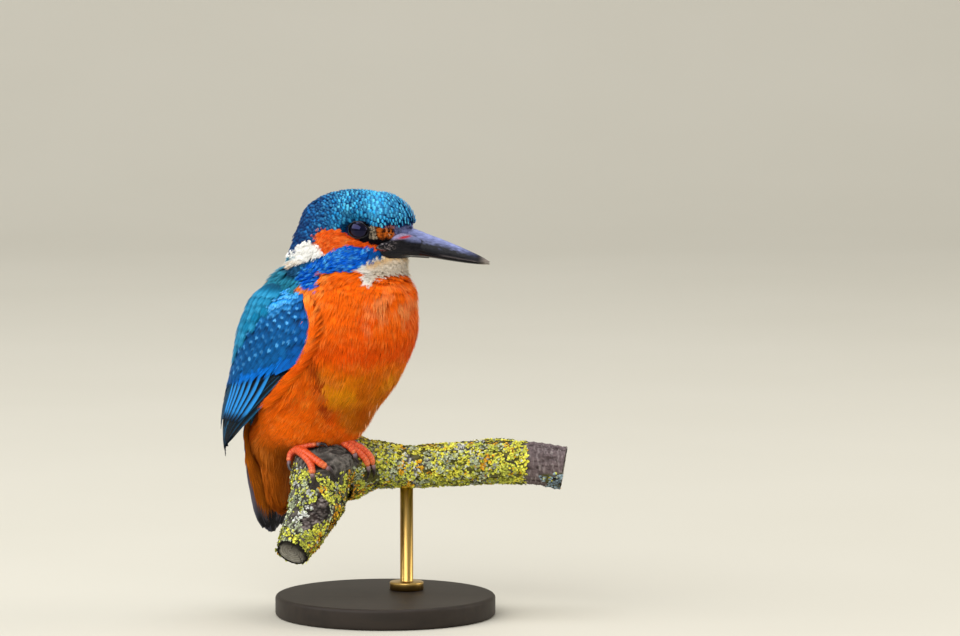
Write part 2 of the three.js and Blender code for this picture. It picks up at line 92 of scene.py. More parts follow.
def smoothRows(table, x):  # a smooth curve through each column of a table, read at x by its first column
    table = np.array(table, float)
    place = np.clip(np.searchsorted(table[:, 0], x, side="right") - 1, 0, len(table) - 2)
    p, q = table[place], table[place + 1]
    before, after = table[np.maximum(place - 1, 0)], table[np.minimum(place + 2, len(table) - 1)]
    span = (q[..., 0] - p[..., 0])[..., None]
    t = np.clip((x[..., None] - p[..., :1]) / span, 0, 1)
    rise = (q - before) / (q[..., :1] - before[..., :1]) * span
    leave = (after - p) / (after[..., :1] - p[..., :1]) * span
    curve = p + t * (rise + t * ((3 * q - 3 * p - 2 * rise - leave) + t * (2 * p - 2 * q + rise + leave)))
    return curve[..., 1:]


def smoothPath(points, count):  # a smooth curve through rows of numbers, read at even steps of the rows
    points = np.array(points, float)
    table = np.concatenate([np.arange(len(points))[:, None], points], axis=1)
    return smoothRows(table, np.linspace(0, len(points) - 1, count))


def lengthRun(path):  # how far along its own length each point of a path is: the running sum of its steps
    return np.concatenate([[0], np.cumsum(np.linalg.norm(np.diff(path, axis=0), axis=1))])


def ringWays(side, over, turn):
    # directions round each point of a path: side by the cosine and over by the sine
    return side[:, None] * np.cos(turn)[None, :, None] + over[:, None] * np.sin(turn)[None, :, None]


# Frames: forward, left and up at a place.
def makeFrame(origin, yaw):  # turned about the vertical by yaw degrees
    c, s = np.cos(np.radians(yaw)), np.sin(np.radians(yaw))
    return {"origin": np.array(origin, float), "axes": np.array([[c, s, 0], [-s, c, 0], [0, 0, 1]])}


def placed(frameOf, local):  # (forward, left, up) to a point of the model
    return frameOf["origin"] + np.asarray(local, float) @ frameOf["axes"]


def localTo(frameOf, points):  # a point of the model to (forward, left, up)
    return (points - frameOf["origin"]) @ frameOf["axes"].T


def localColumns(frameOf, points):  # the same as three arrays
    return np.moveaxis(localTo(frameOf, points), -1, 0)


def boxMiddle(node):  # the middle of a solid's box: half the sum of its two corners
    low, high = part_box(node)
    return (np.array(low) + np.array(high)) / 2 / metre


# The head's frame comes from the two eyes, the body's from the trunk, as the solids have them.
eyeShape = {"radius": 4.3, "forward": 4.9, "side": 9.6, "up": -0.1, "socket": 1.0, "socketReach": 4.9}
eyeMiddles = {side: boxMiddle("eye_" + side) for side in "rl"}
headFrame = makeFrame((eyeMiddles["r"] + eyeMiddles["l"]) / 2, -10)
headFrame["origin"] = placed(headFrame, (-eyeShape["forward"], 0, -eyeShape["up"]))
trunkMiddle = boxMiddle("trunk")
bodyFrame = makeFrame((trunkMiddle[0] - 3.03, trunkMiddle[1] + 2.045, 0), -36)


# Meshes: arrays of points and faces in, one object out.
def makePiece(name, points, faces, material, nodes=(), slot=None, colours=None, maps=None, values=None):
    # points in metres, faces as rows of corner numbers, colours and values for each point, maps for each
    # corner
    mesh = bpy.data.meshes.new(name)
    corners = np.concatenate([f.ravel() for f in faces]).astype(np.int32)
    sizes = np.concatenate([np.full(len(f), f.shape[1]) for f in faces])
    mesh.vertices.add(len(points))
    mesh.vertices.foreach_set("co", (points * metre).astype(np.float32).ravel())
    mesh.loops.add(len(corners))
    mesh.loops.foreach_set("vertex_index", corners)
    mesh.polygons.add(len(sizes))
    mesh.polygons.foreach_set("loop_start", np.concatenate([[0], np.cumsum(sizes)[:-1]]).astype(np.int32))
    mesh.polygons.foreach_set("use_smooth", np.ones(len(sizes), bool))
    for mapName, places in (maps or {}).items():
        layer = mesh.uv_layers.new(name=mapName)
        flat = places if len(places) == len(corners) else places[corners]
        layer.data.foreach_set("uv", flat.astype(np.float32).ravel())
    if colours is not None:
        attribute = mesh.attributes.new("plumage", "FLOAT_COLOR", "POINT")
        full = np.concatenate([np.clip(colours, 0, 1), np.ones((len(points), 1))], axis=1)
        attribute.data.foreach_set("color", full.astype(np.float32).ravel())
    for valueName, numbers in (values or {}).items():
        attribute = mesh.attributes.new(valueName, "FLOAT", "POINT")
        attribute.data.foreach_set("value", numbers.astype(np.float32))
    mesh.update(calc_edges=True)
    mesh.materials.append(material)
    piece = bpy.data.objects.new(name, mesh)
    scene.collection.objects.link(piece)
    if slot is None:
        return
    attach(piece, "root")
    if nodes:
        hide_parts(*nodes)


def gridFaces(rows, columns, wrap=False):  # quads between neighbouring rows and columns of a grid of points
    across = columns if wrap else columns - 1
    i, j = np.meshgrid(np.arange(rows - 1), np.arange(across), indexing="ij")
    here, right = i * columns + j, i * columns + (j + 1) % columns
    return np.stack([here, right, right + columns, here + columns], -1).reshape(-1, 4)


def manyGrids(count, rows, columns):  # the same grid's quads once for each sheet, moved along by its points
    start = np.arange(count) * rows * columns
    return (gridFaces(rows, columns)[None] + start[:, None, None]).reshape(-1, 4)


def faceOut(points, faces):  # turns every face round if the closed shape's signed volume is negative
    volume = 0.0
    middle = points.mean(0)
    for face in faces:
        for k in range(1, face.shape[1] - 1):
            a, b, c = (points[face[:, n]] - middle for n in (0, k, k + 1))
            volume += np.einsum("ij,ij->", a, np.cross(b, c))
    return [f[:, ::-1] for f in faces] if volume < 0 else faces


def sheetsOut(points, faces, outward):
    # turns open sheets round if their summed normals point against outward
    a, b, c = (points[faces[0][:, k]] for k in range(3))
    return [f[:, ::-1] for f in faces] if (np.cross(b - a, c - a) * outward).sum() < 0 else faces


def closedLoft(rings, firstTip, lastTip):  # rings (rows, columns, 3) with a point at each end
    rows, columns = rings.shape[:2]
    points = np.concatenate([rings.reshape(-1, 3), [firstTip, lastTip]])
    j = np.arange(columns)
    after = (j + 1) % columns
    start, stop = rows * columns, rows * columns + 1
    last = (rows - 1) * columns
    tips = np.concatenate([
        np.stack([np.full(columns, start), after, j], 1),
        np.stack([np.full(columns, stop), last + j, last + after], 1),
    ])
    return points, faceOut(points, [gridFaces(rows, columns, True), tips])


def loftColours(grid):  # a colour for each ring point, then one for each of the loft's two tips
    return np.concatenate([grid.reshape(-1, 3), grid[0, :1], grid[-1, :1]])


def joined(parts):  # several (points, faces) in one, with the face numbers moved along
    points, faces, count = [], [], 0
    for partPoints, partFaces in parts:
        points.append(partPoints)
        faces += [f + count for f in partFaces]
        count += len(partPoints)
    return np.concatenate(points), faces


# Materials.
def addNode(tree, kind, settings=None, links=None):  # one node with its settings and what feeds it
    node = tree.nodes.new("ShaderNode" + kind)
    for key, value in (settings or {}).items():
        if isinstance(key, int) or key in node.inputs:
            node.inputs[key].default_value = value
        else:
            setattr(node, key, value)
    for socket, source in (links or {}).items():
        tree.links.new(source, node.inputs[socket])
    return node


def newMaterial(name, settings):  # a material with one main shader, its plain numbers set on it
    material = bpy.data.materials.new(name)
    material.use_nodes = True
    tree = material.node_tree
    tree.nodes.clear()
    shader = addNode(tree, "BsdfPrincipled", settings)
    addNode(tree, "OutputMaterial", links={"Surface": shader.outputs[0]})
    return material, tree, shader


def paintedFinish(name, settings, kind=None, pattern=None, tone=None, bump=None, read="Fac", raiseTone=False):
    # the piece's own painted colour, times a fine pattern mapped to the tones; the bump rises with the
    # pattern
    material, tree, shader = newMaterial(name, settings)
    colour = addNode(tree, "Attribute", {"attribute_name": "plumage"}).outputs["Color"]
    if kind:
        place = addNode(tree, "TexCoord")
        fine = addNode(tree, kind, pattern, {"Vector": place.outputs["Object"]})
        shade = addNode(tree, "MapRange", tone, {"Value": fine.outputs[read]})
        mixed = addNode(
            tree, "VectorMath", {"operation": "MULTIPLY"}, {0: colour, 1: shade.outputs["Result"]},
        )
        colour = mixed.outputs[0]
    if bump:
        height = shade.outputs["Result"] if raiseTone else fine.outputs[read]
        raised = addNode(tree, "Bump", bump, {"Height": height})
        tree.links.new(raised.outputs[0], shader.inputs["Normal"])
    tree.links.new(colour, shader.inputs["Base Color"])
    return material


def rgba(code):  # a hex colour in linear light with full opacity
    return (*linearColour(code), 1.0)


# The flesh is the soft minimum of ellipsoids: middle and radii in a frame, nose-down pitch in degrees.
fleshShape = {"softness": 4, "foreheadFill": 1.1}
headBlobs = [
    ((2.2, 0, 3), (20.4, 10, 11.2), 1.4),
    ((11, 0, -4.8), (7.5, 6, 6.9), 12.1),
    ((-15.1, 0, -10.9), (7.9, 7.9, 8.9), -31.4),
    ((3.1, 5, -6.5), (10.3, 7, 8.4), 1.3),
    ((3.1, -5, -6.5), (10.3, 7, 8.4), 1.3),
    ((11.2, 0, -13.7), (6.2, 4.1, 3), 3.8),
]
bodyBlobs = [
    ((9.5, 0, 124.8), (30.3, 18.5, 8.3), 1),
    ((6.1, 0, 109.7), (33.7, 25.3, 22), -4.8),
    ((-14, 0, 106), (11.8, 14.4, 22.5), -8.1),
    ((0, 0, 94.8), (30.2, 24.9, 20.5), -4.7),
    ((-6.4, 0, 79.1), (24.6, 14.9, 15.1), 10),
    ((-5.5, 10, 77.4), (9.7, 8.1, 9.9), 0),
    ((-5.5, -10, 77.4), (9.7, 8.1, 9.9), 0),
    ((-23.4, 0, 65.7), (8.1, 11.4, 10.1), 10.9),
    ((-21.7, 0, 49.2), (3.3, 8.3, 12.1), -4.4),
]


def blobTurn(pitch, frameOf):  # rows are the ellipsoid's own axes in the model
    c, s = np.cos(np.radians(pitch)), np.sin(np.radians(pitch))
    return np.array([[c, 0, -s], [0, 1, 0], [s, 0, c]]) @ frameOf["axes"]


fleshBlobs = [
    (placed(frameOf, middle), np.array(radii), blobTurn(pitch, frameOf))
    for frameOf, blobs in ((headFrame, headBlobs), (bodyFrame, bodyBlobs))
    for middle, radii, pitch in blobs
]


def fleshField(points):
    # how far outside the flesh, as minus the log of the ellipsoids' summed e^-distance; the way out
    shape = points.shape
    points = points.reshape(-1, 3)
    total = np.zeros(len(points))
    slope = np.zeros((len(points), 3))
    for middle, radii, turn in fleshBlobs:
        local = (points - middle) @ turn.T
        near = np.linalg.norm(local / radii, axis=1)
        steepWay = local / radii ** 2
        steep = np.maximum(np.linalg.norm(steepWay, axis=1), 1e-9)
        weight = np.exp(-near * (near - 1) / steep / fleshShape["softness"])
        total += weight
        slope += (weight / steep)[:, None] * (steepWay @ turn)
    slope /= total[:, None]
    f, l, u = localColumns(headFrame, points)  # the sockets: the flesh sinks round each eye
    away = np.hypot(f - eyeShape["forward"], u - eyeShape["up"]) / eyeShape["socketReach"]
    socket = eyeShape["socket"] * np.exp(-away ** 4) * (np.abs(l) > 5)
    # and swells a little over the bill
    brow = fleshShape["foreheadFill"] * ease(9, 15, f) * ease(0.5, 3.5, u)
    return (socket - brow - fleshShape["softness"] * np.log(total)).reshape(shape[:-1]), slope.reshape(shape)


def settle(points, height, rounds=2):
    # moves points along the slope until they are at that height over the flesh
    for _ in range(rounds):
        distance, slope = fleshField(points)
        points = points - slope * ((distance - height) / np.maximum((slope ** 2).sum(-1), 0.05))[..., None]
    return points


def fleshEdge(start, ray, low, high, halvings):
    # how far along each ray the flesh ends, by halving low to high
    low, high = (np.broadcast_to(reach, ray.shape[:-1]) for reach in (low, high))
    for _ in range(halvings):
        middle = (low + high) / 2
        inside = fleshField(start + ray * middle[..., None])[0] < 0
        low, high = np.where(inside, middle, low), np.where(inside, high, middle)
    return high


def coatDepth(points):  # how far the skin lies under the coat's surface: thin on the face, thick on the body
    head = localTo(headFrame, points)
    face = 1 - ease(7, 16, np.linalg.norm(head - np.array([9, 0, -3]), axis=-1))
    onHead = ease(128, 141, points[..., 2])
    return 1.9 - 1.0 * onHead - 0.35 * face * onHead


# The skin: rays from a path inside the body, fanned to a pole at each end, then settled under the coat.
skinShape = {"rows": 250, "columns": 220, "coarse": (64, 10, 56), "march": 1.5, "marches": 32, "halvings": 9}
skinPath = smoothPath(np.array([
    headFrame["origin"] + (0, 0, 2),
    *placed(bodyFrame, [(10, 0, 130), (6, 0, 110), (-2, 0, 90), (-13, 0, 72), (-22, 0, 57), (-22, 0, 42)]),
]), 400)


def skinRays(rows, capRows, columns):  # starts and directions, row by row from the crown to the tail
    walk = lengthRun(skinPath)
    walk /= walk[-1]
    tiltSteps = np.linspace(0, 90, capRows + 1)[1:] - 45 / capRows
    along = np.concatenate([np.zeros(capRows), np.linspace(0, 1, rows), np.ones(capRows)])
    tilt = np.radians(np.concatenate([-tiltSteps[::-1], np.zeros(rows), tiltSteps]))
    start = np.stack([np.interp(along, walk, skinPath[:, k]) for k in range(3)], 1)
    slope = np.gradient(skinPath, axis=0)
    down = unit(np.stack([np.interp(along, walk, slope[:, k]) for k in range(3)], 1))
    side = unit(np.cross(down, bodyFrame["axes"][0]))
    flat = ringWays(np.cross(side, down), side, np.linspace(0, 2 * np.pi, columns, endpoint=False))
    ray = flat * np.cos(tilt)[:, None, None] + down[:, None] * np.sin(tilt)[:, None, None]
    return np.broadcast_to(start[:, None], ray.shape), ray


def castSkin(rows, capRows, columns):  # marches out along every ray at once, then halves the last step
    start, ray = skinRays(rows, capRows, columns)
    step = skinShape["march"]
    reach = np.full(ray.shape[:2], step)
    within = np.ones(ray.shape[:2], bool)
    for _ in range(skinShape["marches"]):
        outside = fleshField(start[within] + ray[within] * reach[within][:, None])[0] >= 0
        places = np.argwhere(within)
        within[tuple(places[outside].T)] = False
        reach[within] += step
    return start + ray * fleshEdge(start, ray, reach - step, reach, skinShape["halvings"])[..., None]


def widen(grid, rows, columns):
    # reads a grid that closes on itself across at a finer spacing, straight between points
    r = np.linspace(0, grid.shape[0] - 1, rows)
    c = np.linspace(0, grid.shape[1], columns, endpoint=False)
    i, j = np.floor(r).astype(int), np.floor(c).astype(int)
    i = np.minimum(i, grid.shape[0] - 2)
    a, b = (r - i)[:, None, None], (c - j)[None, :, None]
    right = (j + 1) % grid.shape[1]
    top = grid[i][:, j] * (1 - b) + grid[i][:, right] * b
    foot = grid[i + 1][:, j] * (1 - b) + grid[i + 1][:, right] * b
    return top * (1 - a) + foot * a


skinGrid = settle(widen(castSkin(*skinShape["coarse"]), skinShape["rows"], skinShape["columns"]), 0, 3)
skinGrid = settle(skinGrid, -coatDepth(skinGrid), 3)
print(
    "skin grid", skinGrid.shape, skinGrid.reshape(-1, 3).min(0).round(1),
    skinGrid.reshape(-1, 3).max(0).round(1),
)


# Colours of the plumage, and where each one lies.
plumageColours = {
    "crownDark": "#022A60", "crownLight": "#2AB0F2", "crownSky": "#78EEFF", "crownTeal": "#0C5A80",
    "crownFront": "#3E90C6", "napeDark": "#041E4C", "napeLight": "#1E72CC",
    "ear": "#F25C10", "earPale": "#FF9444", "earDeep": "#D84604",
    "neckWhite": "#FFFDF6", "neckTan": "#EBCB9E", "streak": "#0A2440", "streakLight": "#2C6FA0",
    "malar": "#066AE2", "malarLight": "#5AC4FF", "malarDark": "#0448B4", "malarFront": "#0A5088",
    "throat": "#FFFBF2", "throatShade": "#E8D2AC", "throatYellow": "#F4BC50",
    "loreRust": "#F07A26", "lorePale": "#E9D3B4", "loreBlack": "#0C0A10", "loreBlue": "#8088BC",
    "breast": "#FB6A08", "breastPale": "#FF9A40", "breastDeep": "#EC5000", "breastMottle": "#FFA862",
    "belly": "#EE980E", "bellyDeep": "#D87006", "bellyLow": "#B04A00", "fringe": "#F4C49A",
    # groove is painted shade: the dark red of the crease between breast and flank
    "flank": "#EE6404", "flankPale": "#FA9426", "groove": "#8E2C04", "thigh": "#FA6E06",
    # the undertail colours: partly the coverts' own orange, partly painted shade; the deep one is painted
    # shade
    "underTail": "#B0580E", "underTailShade": "#7E3C08",
    "mantle": "#2C96B4", "mantleDark": "#0E4A64",
    "back": "#19A4EC", "backLight": "#7FE4FF", "backDeep": "#0A62C0",
}
paint = linearTable(plumageColours)
zoneNames = (
    "under", "crown", "nape", "lore", "ear", "neckWhite", "streak", "malar", "throat", "mantle", "back",
    "underTail",
)
zoneNumber = {name: number for number, name in enumerate(zoneNames)}

# Edges on the side of the head, as (forward, up) knots in the head's frame; the mantle's is (up, forward) on
# the body.
headEdges = {
    "crown": [
        (-25, -13), (-22.8, -10), (-16.4, -5), (-12.9, -4), (-11.8, -1), (-9.9, 1.1), (-6, 0.8), (-2, 0.1),
        (0.8, -1.6), (1.6, -2.2), (2.2, 3.4), (4.8, 4.4), (8, 3.4), (9.8, 1.9), (15.8, 2.1), (23.3, 2.1),
    ],
    "earTop": [
        (-12.9, -3.6), (-9.9, 1.3), (-6, 0.9), (-2, 0.2), (1.9, -2.2), (4.4, -3.6), (8.2, -5), (12.6, -6),
    ],
    "earFoot": [
        (-12.9, -4.4), (-9.9, -7), (-8.6, -9.2), (-5.2, -7.6), (-2.5, -6.3), (-0.6, -5.6), (3.4, -5.2),
        (8.2, -6),
        (12.6, -6.6),
    ],
    "whiteTop": [
        (-24.6, -13.4), (-23.7, -12.2), (-20.5, -9), (-16.6, -5.2), (-13, -4.4), (-10.3, -5.7), (-9.7, -7.4),
        (-8, -9.4),
    ],
    "whiteFoot": [(-24.6, -15), (-21.4, -15.9), (-17.8, -13.4), (-12.3, -11.4), (-8, -9.6)],
    "malarTop": [
        (-18, -18.5), (-16, -14.5), (-14.1, -13.4), (-11, -11.5), (-7.2, -9.5), (-4.1, -7.6), (-1.4, -5.8),
        (2.1, -5.2), (7.1, -5.9), (13, -6.5), (15.6, -7.2),
    ],
    "malarFoot": [
        (-18, -20.3), (-14.9, -22.8), (-10.6, -23.2), (-9.6, -17.2), (-3.7, -16.4), (2.1, -15.7), (6, -14.3),
        (9, -12.2), (12.1, -10.9), (15.6, -9.8),
    ],
    "throatFoot": [
        (4.4, -15.7), (5.2, -17.5), (7.1, -20.2), (8.5, -21.6), (10.2, -20.8), (12.1, -19.6), (15.6, -18.4),
        (24, -18),
    ],
    "mantle": [(60, -33), (70, -30), (84, -18), (112, -13), (118, -9), (124, 0), (128, 4), (134, 5)],
}


def edgeAt(name, x):  # the height of one edge at x, straight between its knots
    knots = np.array(headEdges[name])
    return np.interp(x, knots[:, 0], knots[:, 1])


def sideView(points):  # forward and up, read a little further on where the surface turns in from the cheek
    f, l, u = localColumns(headFrame, points)
    inward = 12 - np.abs(l)
    return f + 0.177 * inward, u + 0.1035 * inward, np.abs(l)


def zoneOf(points, fray=0.0):  # which zone each point is in, with edges frayed by that many millimetres
    if fray:
        shake = np.stack([softNoise(points, 0.9, k) for k in (11, 12, 13)], -1) - 0.5
        points = points + shake * 2 * fray
    f, u, side = sideView(points)
    bodyF, bodyL, bodyU = localColumns(bodyFrame, points)
    zone = np.zeros(f.shape, int)
    upper = bodyF < edgeAt("mantle", bodyU)
    high = bodyU > 122
    crown = u > edgeAt("crown", f)
    streak = high & (f > -21.5) & (f < -7.5)
    streak = streak & (u < edgeAt("whiteFoot", f) + 0.5) & (u > edgeAt("malarTop", f))
    malar = high & (f > -18) & (f < 15.6) & (u > edgeAt("malarFoot", f)) & (u < edgeAt("malarTop", f) + 0.6)
    white = (f < -8) & (f > -24.6) & (u < edgeAt("whiteTop", f)) & (u > edgeAt("whiteFoot", f)) & (side > 2)
    ear = (f < 12.6) & (f > -13) & (u < edgeAt("earTop", f)) & (u > edgeAt("earFoot", f))
    lore = (f > 3) & (f < 34) & (u < edgeAt("crown", f)) & (u > -6.2) & ~ear & ((side > 2.5) | (f > 20))
    nape = (f < -8) & (u > -17) & ((crown & (u < -0.35 * f - 6)) | ((side < 2) & (f < -14)))
    for name, within in (
        ("mantle", upper),
        ("back", upper & (np.abs(bodyL) < 8) & (bodyU < 125)),
        ("underTail", (bodyU < 63) & (bodyF > -27)),
        ("throat", high & (f > 4.4) & (u > edgeAt("throatFoot", f)) & (u < -6)),
        ("malar", malar),
        ("streak", streak & (side > 3)),
        ("neckWhite", white),
        ("ear", ear),
        ("lore", lore),
        ("crown", crown),
        ("nape", nape),
    ):
        zone[within] = zoneNumber[name]  # later zones lie over earlier ones
    return zone


def underColour(points, seed=3):
    # breast to belly: orange, ochre belly, red painted shade in the flank's groove, pale mottles
    f, l, u = localColumns(bodyFrame, points)
    broad = softNoise(points, 7.0, seed)
    fine = softNoise(points, 1.9, seed + 1)
    mottle = 0.65 * ease(0.5, 0.75, 0.6 * fine + 0.4 * broad) * bell(u, 117, 9) * ease(29.5, 33, f)
    belly = ease(100, 89, u) * ease(11.5, 15.5, f + 0.08 * (u - 88))
    fringe = 0.7 * bell(l, 9, 4) * ease(84, 76, u) * ease(2, 6, f) * ease(0.3, 0.6, fine)
    flank = ease(101, 93, u) * ease(14, 10, f)
    grooveShadeRun = ease(101, 95, u) * ease(72, 80, u) * ease(10, 15, np.abs(l))
    colour = paint["breast"]
    for tone, share in (
        (paint["breastDeep"], 0.75 * ease(0.42, 0.8, broad) * ease(126, 116, u)),
        # painted shadow: a darker band at the belly's top, under the breast
        (paint["breastDeep"], 0.7 * bell(u, 101, 7) * ease(8, 16, f)),
        (paint["breastPale"], 0.7 * ease(19, 12, f) * ease(100, 110, u) * ease(0.3, 0.7, fine)),
        (paint["breastMottle"], mottle),
        (blendTo(paint["belly"], paint["bellyDeep"], ease(0.3, 0.8, broad)), 0.92 * belly),
        (paint["bellyLow"], 0.75 * belly * ease(84, 76, u)),
        (paint["fringe"], fringe),
        (blendTo(paint["flank"], paint["flankPale"], 0.5 * ease(0.5, 0.9, fine)), 0.85 * flank),
        # painted shade along the groove between breast and flank
        (paint["groove"], 0.8 * bell(f, 12.3 + 0.1 * (u - 86), 1.5) * grooveShadeRun),
        (paint["thigh"], 0.7 * ease(80, 74, u) * ease(10, 4, f)),
        # browner under the tail: partly the coverts' own colour, partly painted shade
        (paint["underTail"], ease(70, 60, u)),
    ):
        colour = blendTo(colour, tone, share)
    return colour


# deep colours for the skin under each zone: painted shade in the gaps between feathers
gapShadePaint = {
    "crown": "crownDark", "nape": "napeDark", "lore": "loreBlack", "ear": "earDeep", "neckWhite": "neckTan",
    "streak": "streak", "malar": "malarDark", "throat": "throatShade", "mantle": "mantleDark",
    "back": "backDeep",
    "underTail": "underTailShade",
}


def skinColour(points):  # the coat's markings, darkened as painted shade so gaps between feathers look deep
    zone = zoneOf(points, 0.4)
    # the underparts' colour darkened: painted shade
    colour = underColour(points) * 0.6
    for name, paintName in gapShadePaint.items():
        # each zone's deep colour darkened again: painted shade
        colour = np.where((zone == zoneNumber[name])[..., None], paint[paintName] * 0.75, colour)
    f, u, side = sideView(points)
    bare = (zone == zoneNumber["lore"]) & (f > 18.3) & (u > -3)
    return np.where(bare[..., None], paint["loreBlue"] * 0.8, colour)


def downySkin():  # bird skin under down: dull, soft and a little uneven, so gaps between feathers look deep
    return paintedFinish(
        "downyBirdSkin", {"Roughness": 0.85, "Specular IOR Level": 0.06}, "TexNoise",
        {"Scale": 1400.0, "Detail": 3.0},
        {"From Min": 0.3, "From Max": 0.7, "To Min": 0.75, "To Max": 1.1},
        {"Strength": 0.4, "Distance": 0.0002},
    )


def birdSkin():
    # the skin's grid closed at both poles; on the bake map across is turn and up is row, cut at turn 0
    rows, columns = skinGrid.shape[:2]
    points, faces = closedLoft(skinGrid, skinGrid[0].mean(0), skinGrid[-1].mean(0))
    grid = np.stack(np.meshgrid(np.arange(rows) / rows, np.arange(columns) / columns, indexing="ij"), -1)
    place = np.concatenate([grid.reshape(-1, 2), [[0, 0.5], [1, 0.5]]])[:, ::-1]
    quads, tips = (place[f].reshape(-1, f.shape[1], 2) for f in faces)
    quads[:, :, 0] += (quads[:, :, 0] < 0.25) & (quads[:, :, 0].max(1, keepdims=True) > 0.75)
    makePiece(
        "birdSkin", points, faces, downySkin(), ("head", "neck", "trunk", "thigh_r", "thigh_l"),
        "breast_feathers",
        colours=skinColour(points),
        maps={"OFBake": np.concatenate([quads.reshape(-1, 2), tips.reshape(-1, 2)])},
    )
    print("skin", len(points), "points")


birdSkin()


# Bill: heights of ridge, mouth line and keel and half width, by the distance forward.
billShape = {
    "rows": 110, "columns": 36, "gap": 0.22, "root": 10, "tip": 52.8,
    "table": [
        [10, -2.4, -6.5, -9.8, 5.4], [16, -0.6, -6.9, -10.4, 5.2], [22, 0.3, -7.6, -10.5, 4.5],
        [30, -2.3, -9.3, -11, 3.5], [38, -5.2, -10.7, -12.1, 2.7], [45.5, -8.3, -11.9, -13, 1.9],
        [50.5, -10.6, -12.6, -13.3, 1.1], [52.8, -12, -12.7, -13.2, 0.4],
    ],
}
# sheen is a painted highlight: the horn painted lighter where light falls from above
billColours = {
    "horn": "#08080E", "sheen": "#868EBE", "tip": "#8F847B", "base": "#221E22", "scale": "#7B7274",
    "gape": "#8E2A1C", "nostril": "#AE0C14", "flesh": "#A098C0", "keel": "#2A221F",
}
billPaint = linearTable(billColours)


def billLevels(forward):
    # ridge, mouth line, keel and half width at each distance forward, read from the table
    inside = np.clip(forward, billShape["root"], billShape["tip"])
    return np.moveaxis(smoothRows(billShape["table"], inside), -1, 0)


def billHalf(upper):
    # rows along the bill; across, an arc of height sin(turn)^0.85 over the mouth line and back inside
    f = np.linspace(billShape["root"], billShape["tip"], billShape["rows"])
    ridge, mouth, keel, half = billLevels(f)
    turn = np.linspace(0, np.pi, billShape["columns"])
    flat = mouth + (billShape["gap"] if upper else -billShape["gap"]) / 2
    crest = np.maximum(ridge, flat + 0.5) if upper else np.minimum(keel, flat - 0.5)
    l = half[:, None] * np.cos(turn) * (1 - 0.18 * np.sin(turn))
    u = flat[:, None] + (crest - flat)[:, None] * np.sin(turn) ** 0.85
    forward = np.broadcast_to(f[:, None], l.shape)
    grain = softNoise(np.stack([forward * 0.25, l * 2.2, u * 2.2], -1), 1.0, 21) - 0.5
    swell = 1 + 0.012 * grain
    if upper:  # a narrow groove over the cutting edge
        swell = swell * (1 - 0.035 * bell(u, mouth[:, None] + 0.55, 0.3) * ease(46, 34, forward))
    l, u = l * swell, flat[:, None] + (u - flat[:, None]) * (1 + 0.02 * grain)
    inner = half[:, None] * np.linspace(2, -2, 5) / 3
    back = np.stack([f[:, None] + 0 * inner, inner, flat[:, None] + 0 * inner], -1)
    rings = np.concatenate([np.stack([forward, l, u], -1), back], axis=1)
    first, last = rings[0].mean(0), rings[-1].mean(0) + (0.4, 0, 0)
    return closedLoft(*(placed(headFrame, part) for part in (rings, first, last)))


def billColour(points, upper):
    # black horn; a grey painted sheen by height above the mouth, specks by noise, a pale tip
    f, l, u = localColumns(headFrame, points)
    ridge, mouth, keel, half = billLevels(f)
    grain = softNoise(np.stack([f * 0.35, l * 2.6, u * 2.6], -1), 1.0, 5)
    speck = softNoise(np.stack([f, l, u], -1), 0.5, 8)
    height = np.clip((u - mouth) / np.maximum(ridge - mouth, 0.3), 0, 1)
    depth = np.clip((mouth - u) / np.maximum(mouth - keel, 0.3), 0, 1)
    own = (
        # painted sheen, lighter towards the ridge
        ("sheen", 0.85 * ease(0.45, 0.9, height + 0.35 * (grain - 0.5)) * ease(50, 40, f)),
        ("flesh", 0.7 * ease(24, 20, f) * ease(0.55, 0.85, height)),
        # a pale line along the cutting edge: a painted highlight
        ("scale", 0.6 * bell(u, mouth + 0.1, 0.3) * ease(33, 38, f) * ease(51, 47, f)),
    ) if upper else (("keel", 0.6 * ease(0.5, 1, depth)),)
    colour = billPaint["horn"]
    for name, share in (
        *own,
        ("scale", 0.55 * ease(0.62, 0.8, speck) * ease(23, 16, f) * ease(-3.4, -4.6, u)),
        ("gape", 0.8 * bell(u, mouth, 0.45) * ease(20, 14, f)),
        ("tip", 0.8 * ease(48.5, 52.5, f)),
    ):
        colour = blendTo(colour, billPaint[name], share)
    return colour


def billHorn():  # keratin horn grown in thin sheets: a satin gloss broken by fine streaks that run to the tip
    material, tree, shader = newMaterial("grownKeratinHorn", {
        "Roughness": 0.33, "Specular IOR Level": 0.17, "Coat Weight": 0.04, "Coat Roughness": 0.2,
    })
    colour = addNode(tree, "Attribute", {"attribute_name": "plumage"})
    place = addNode(tree, "TexCoord")
    stretch = addNode(
        tree, "Mapping", {"Scale": (260.0, 1500.0, 1500.0), "Rotation": (0.0, 0.26, 0.17)},
        {"Vector": place.outputs["Object"]},
    )
    streaks = addNode(
        tree, "TexNoise", {"Scale": 1.0, "Detail": 4.0, "Roughness": 0.6}, {"Vector": stretch.outputs[0]},
    )
    shade, dull = (
        addNode(
            tree, "MapRange", {"From Min": 0.3, "From Max": 0.7, "To Min": low, "To Max": high},
            {"Value": streaks.outputs["Fac"]},
        )
        for low, high in ((0.7, 1.35), (0.22, 0.45))
    )
    mixed = addNode(
        tree, "VectorMath", {"operation": "MULTIPLY"},
        {0: colour.outputs["Color"], 1: shade.outputs["Result"]},
    )
    bump = addNode(tree, "Bump", {"Strength": 0.25, "Distance": 0.0001}, {"Height": streaks.outputs["Fac"]})
    for source, socket in ((mixed, "Base Color"), (dull, "Roughness"), (bump, "Normal")):
        tree.links.new(source.outputs[0], shader.inputs[socket])
    return material


horn = billHorn()
for half, upper in (("upper", True), ("lower", False)):
    points, faces = billHalf(upper)
    makePiece(
        "bill" + half.capitalize() + "Horn", points, faces, horn, ("bill_" + half,), "bill_horn",
        colours=billColour(points, upper),
    )

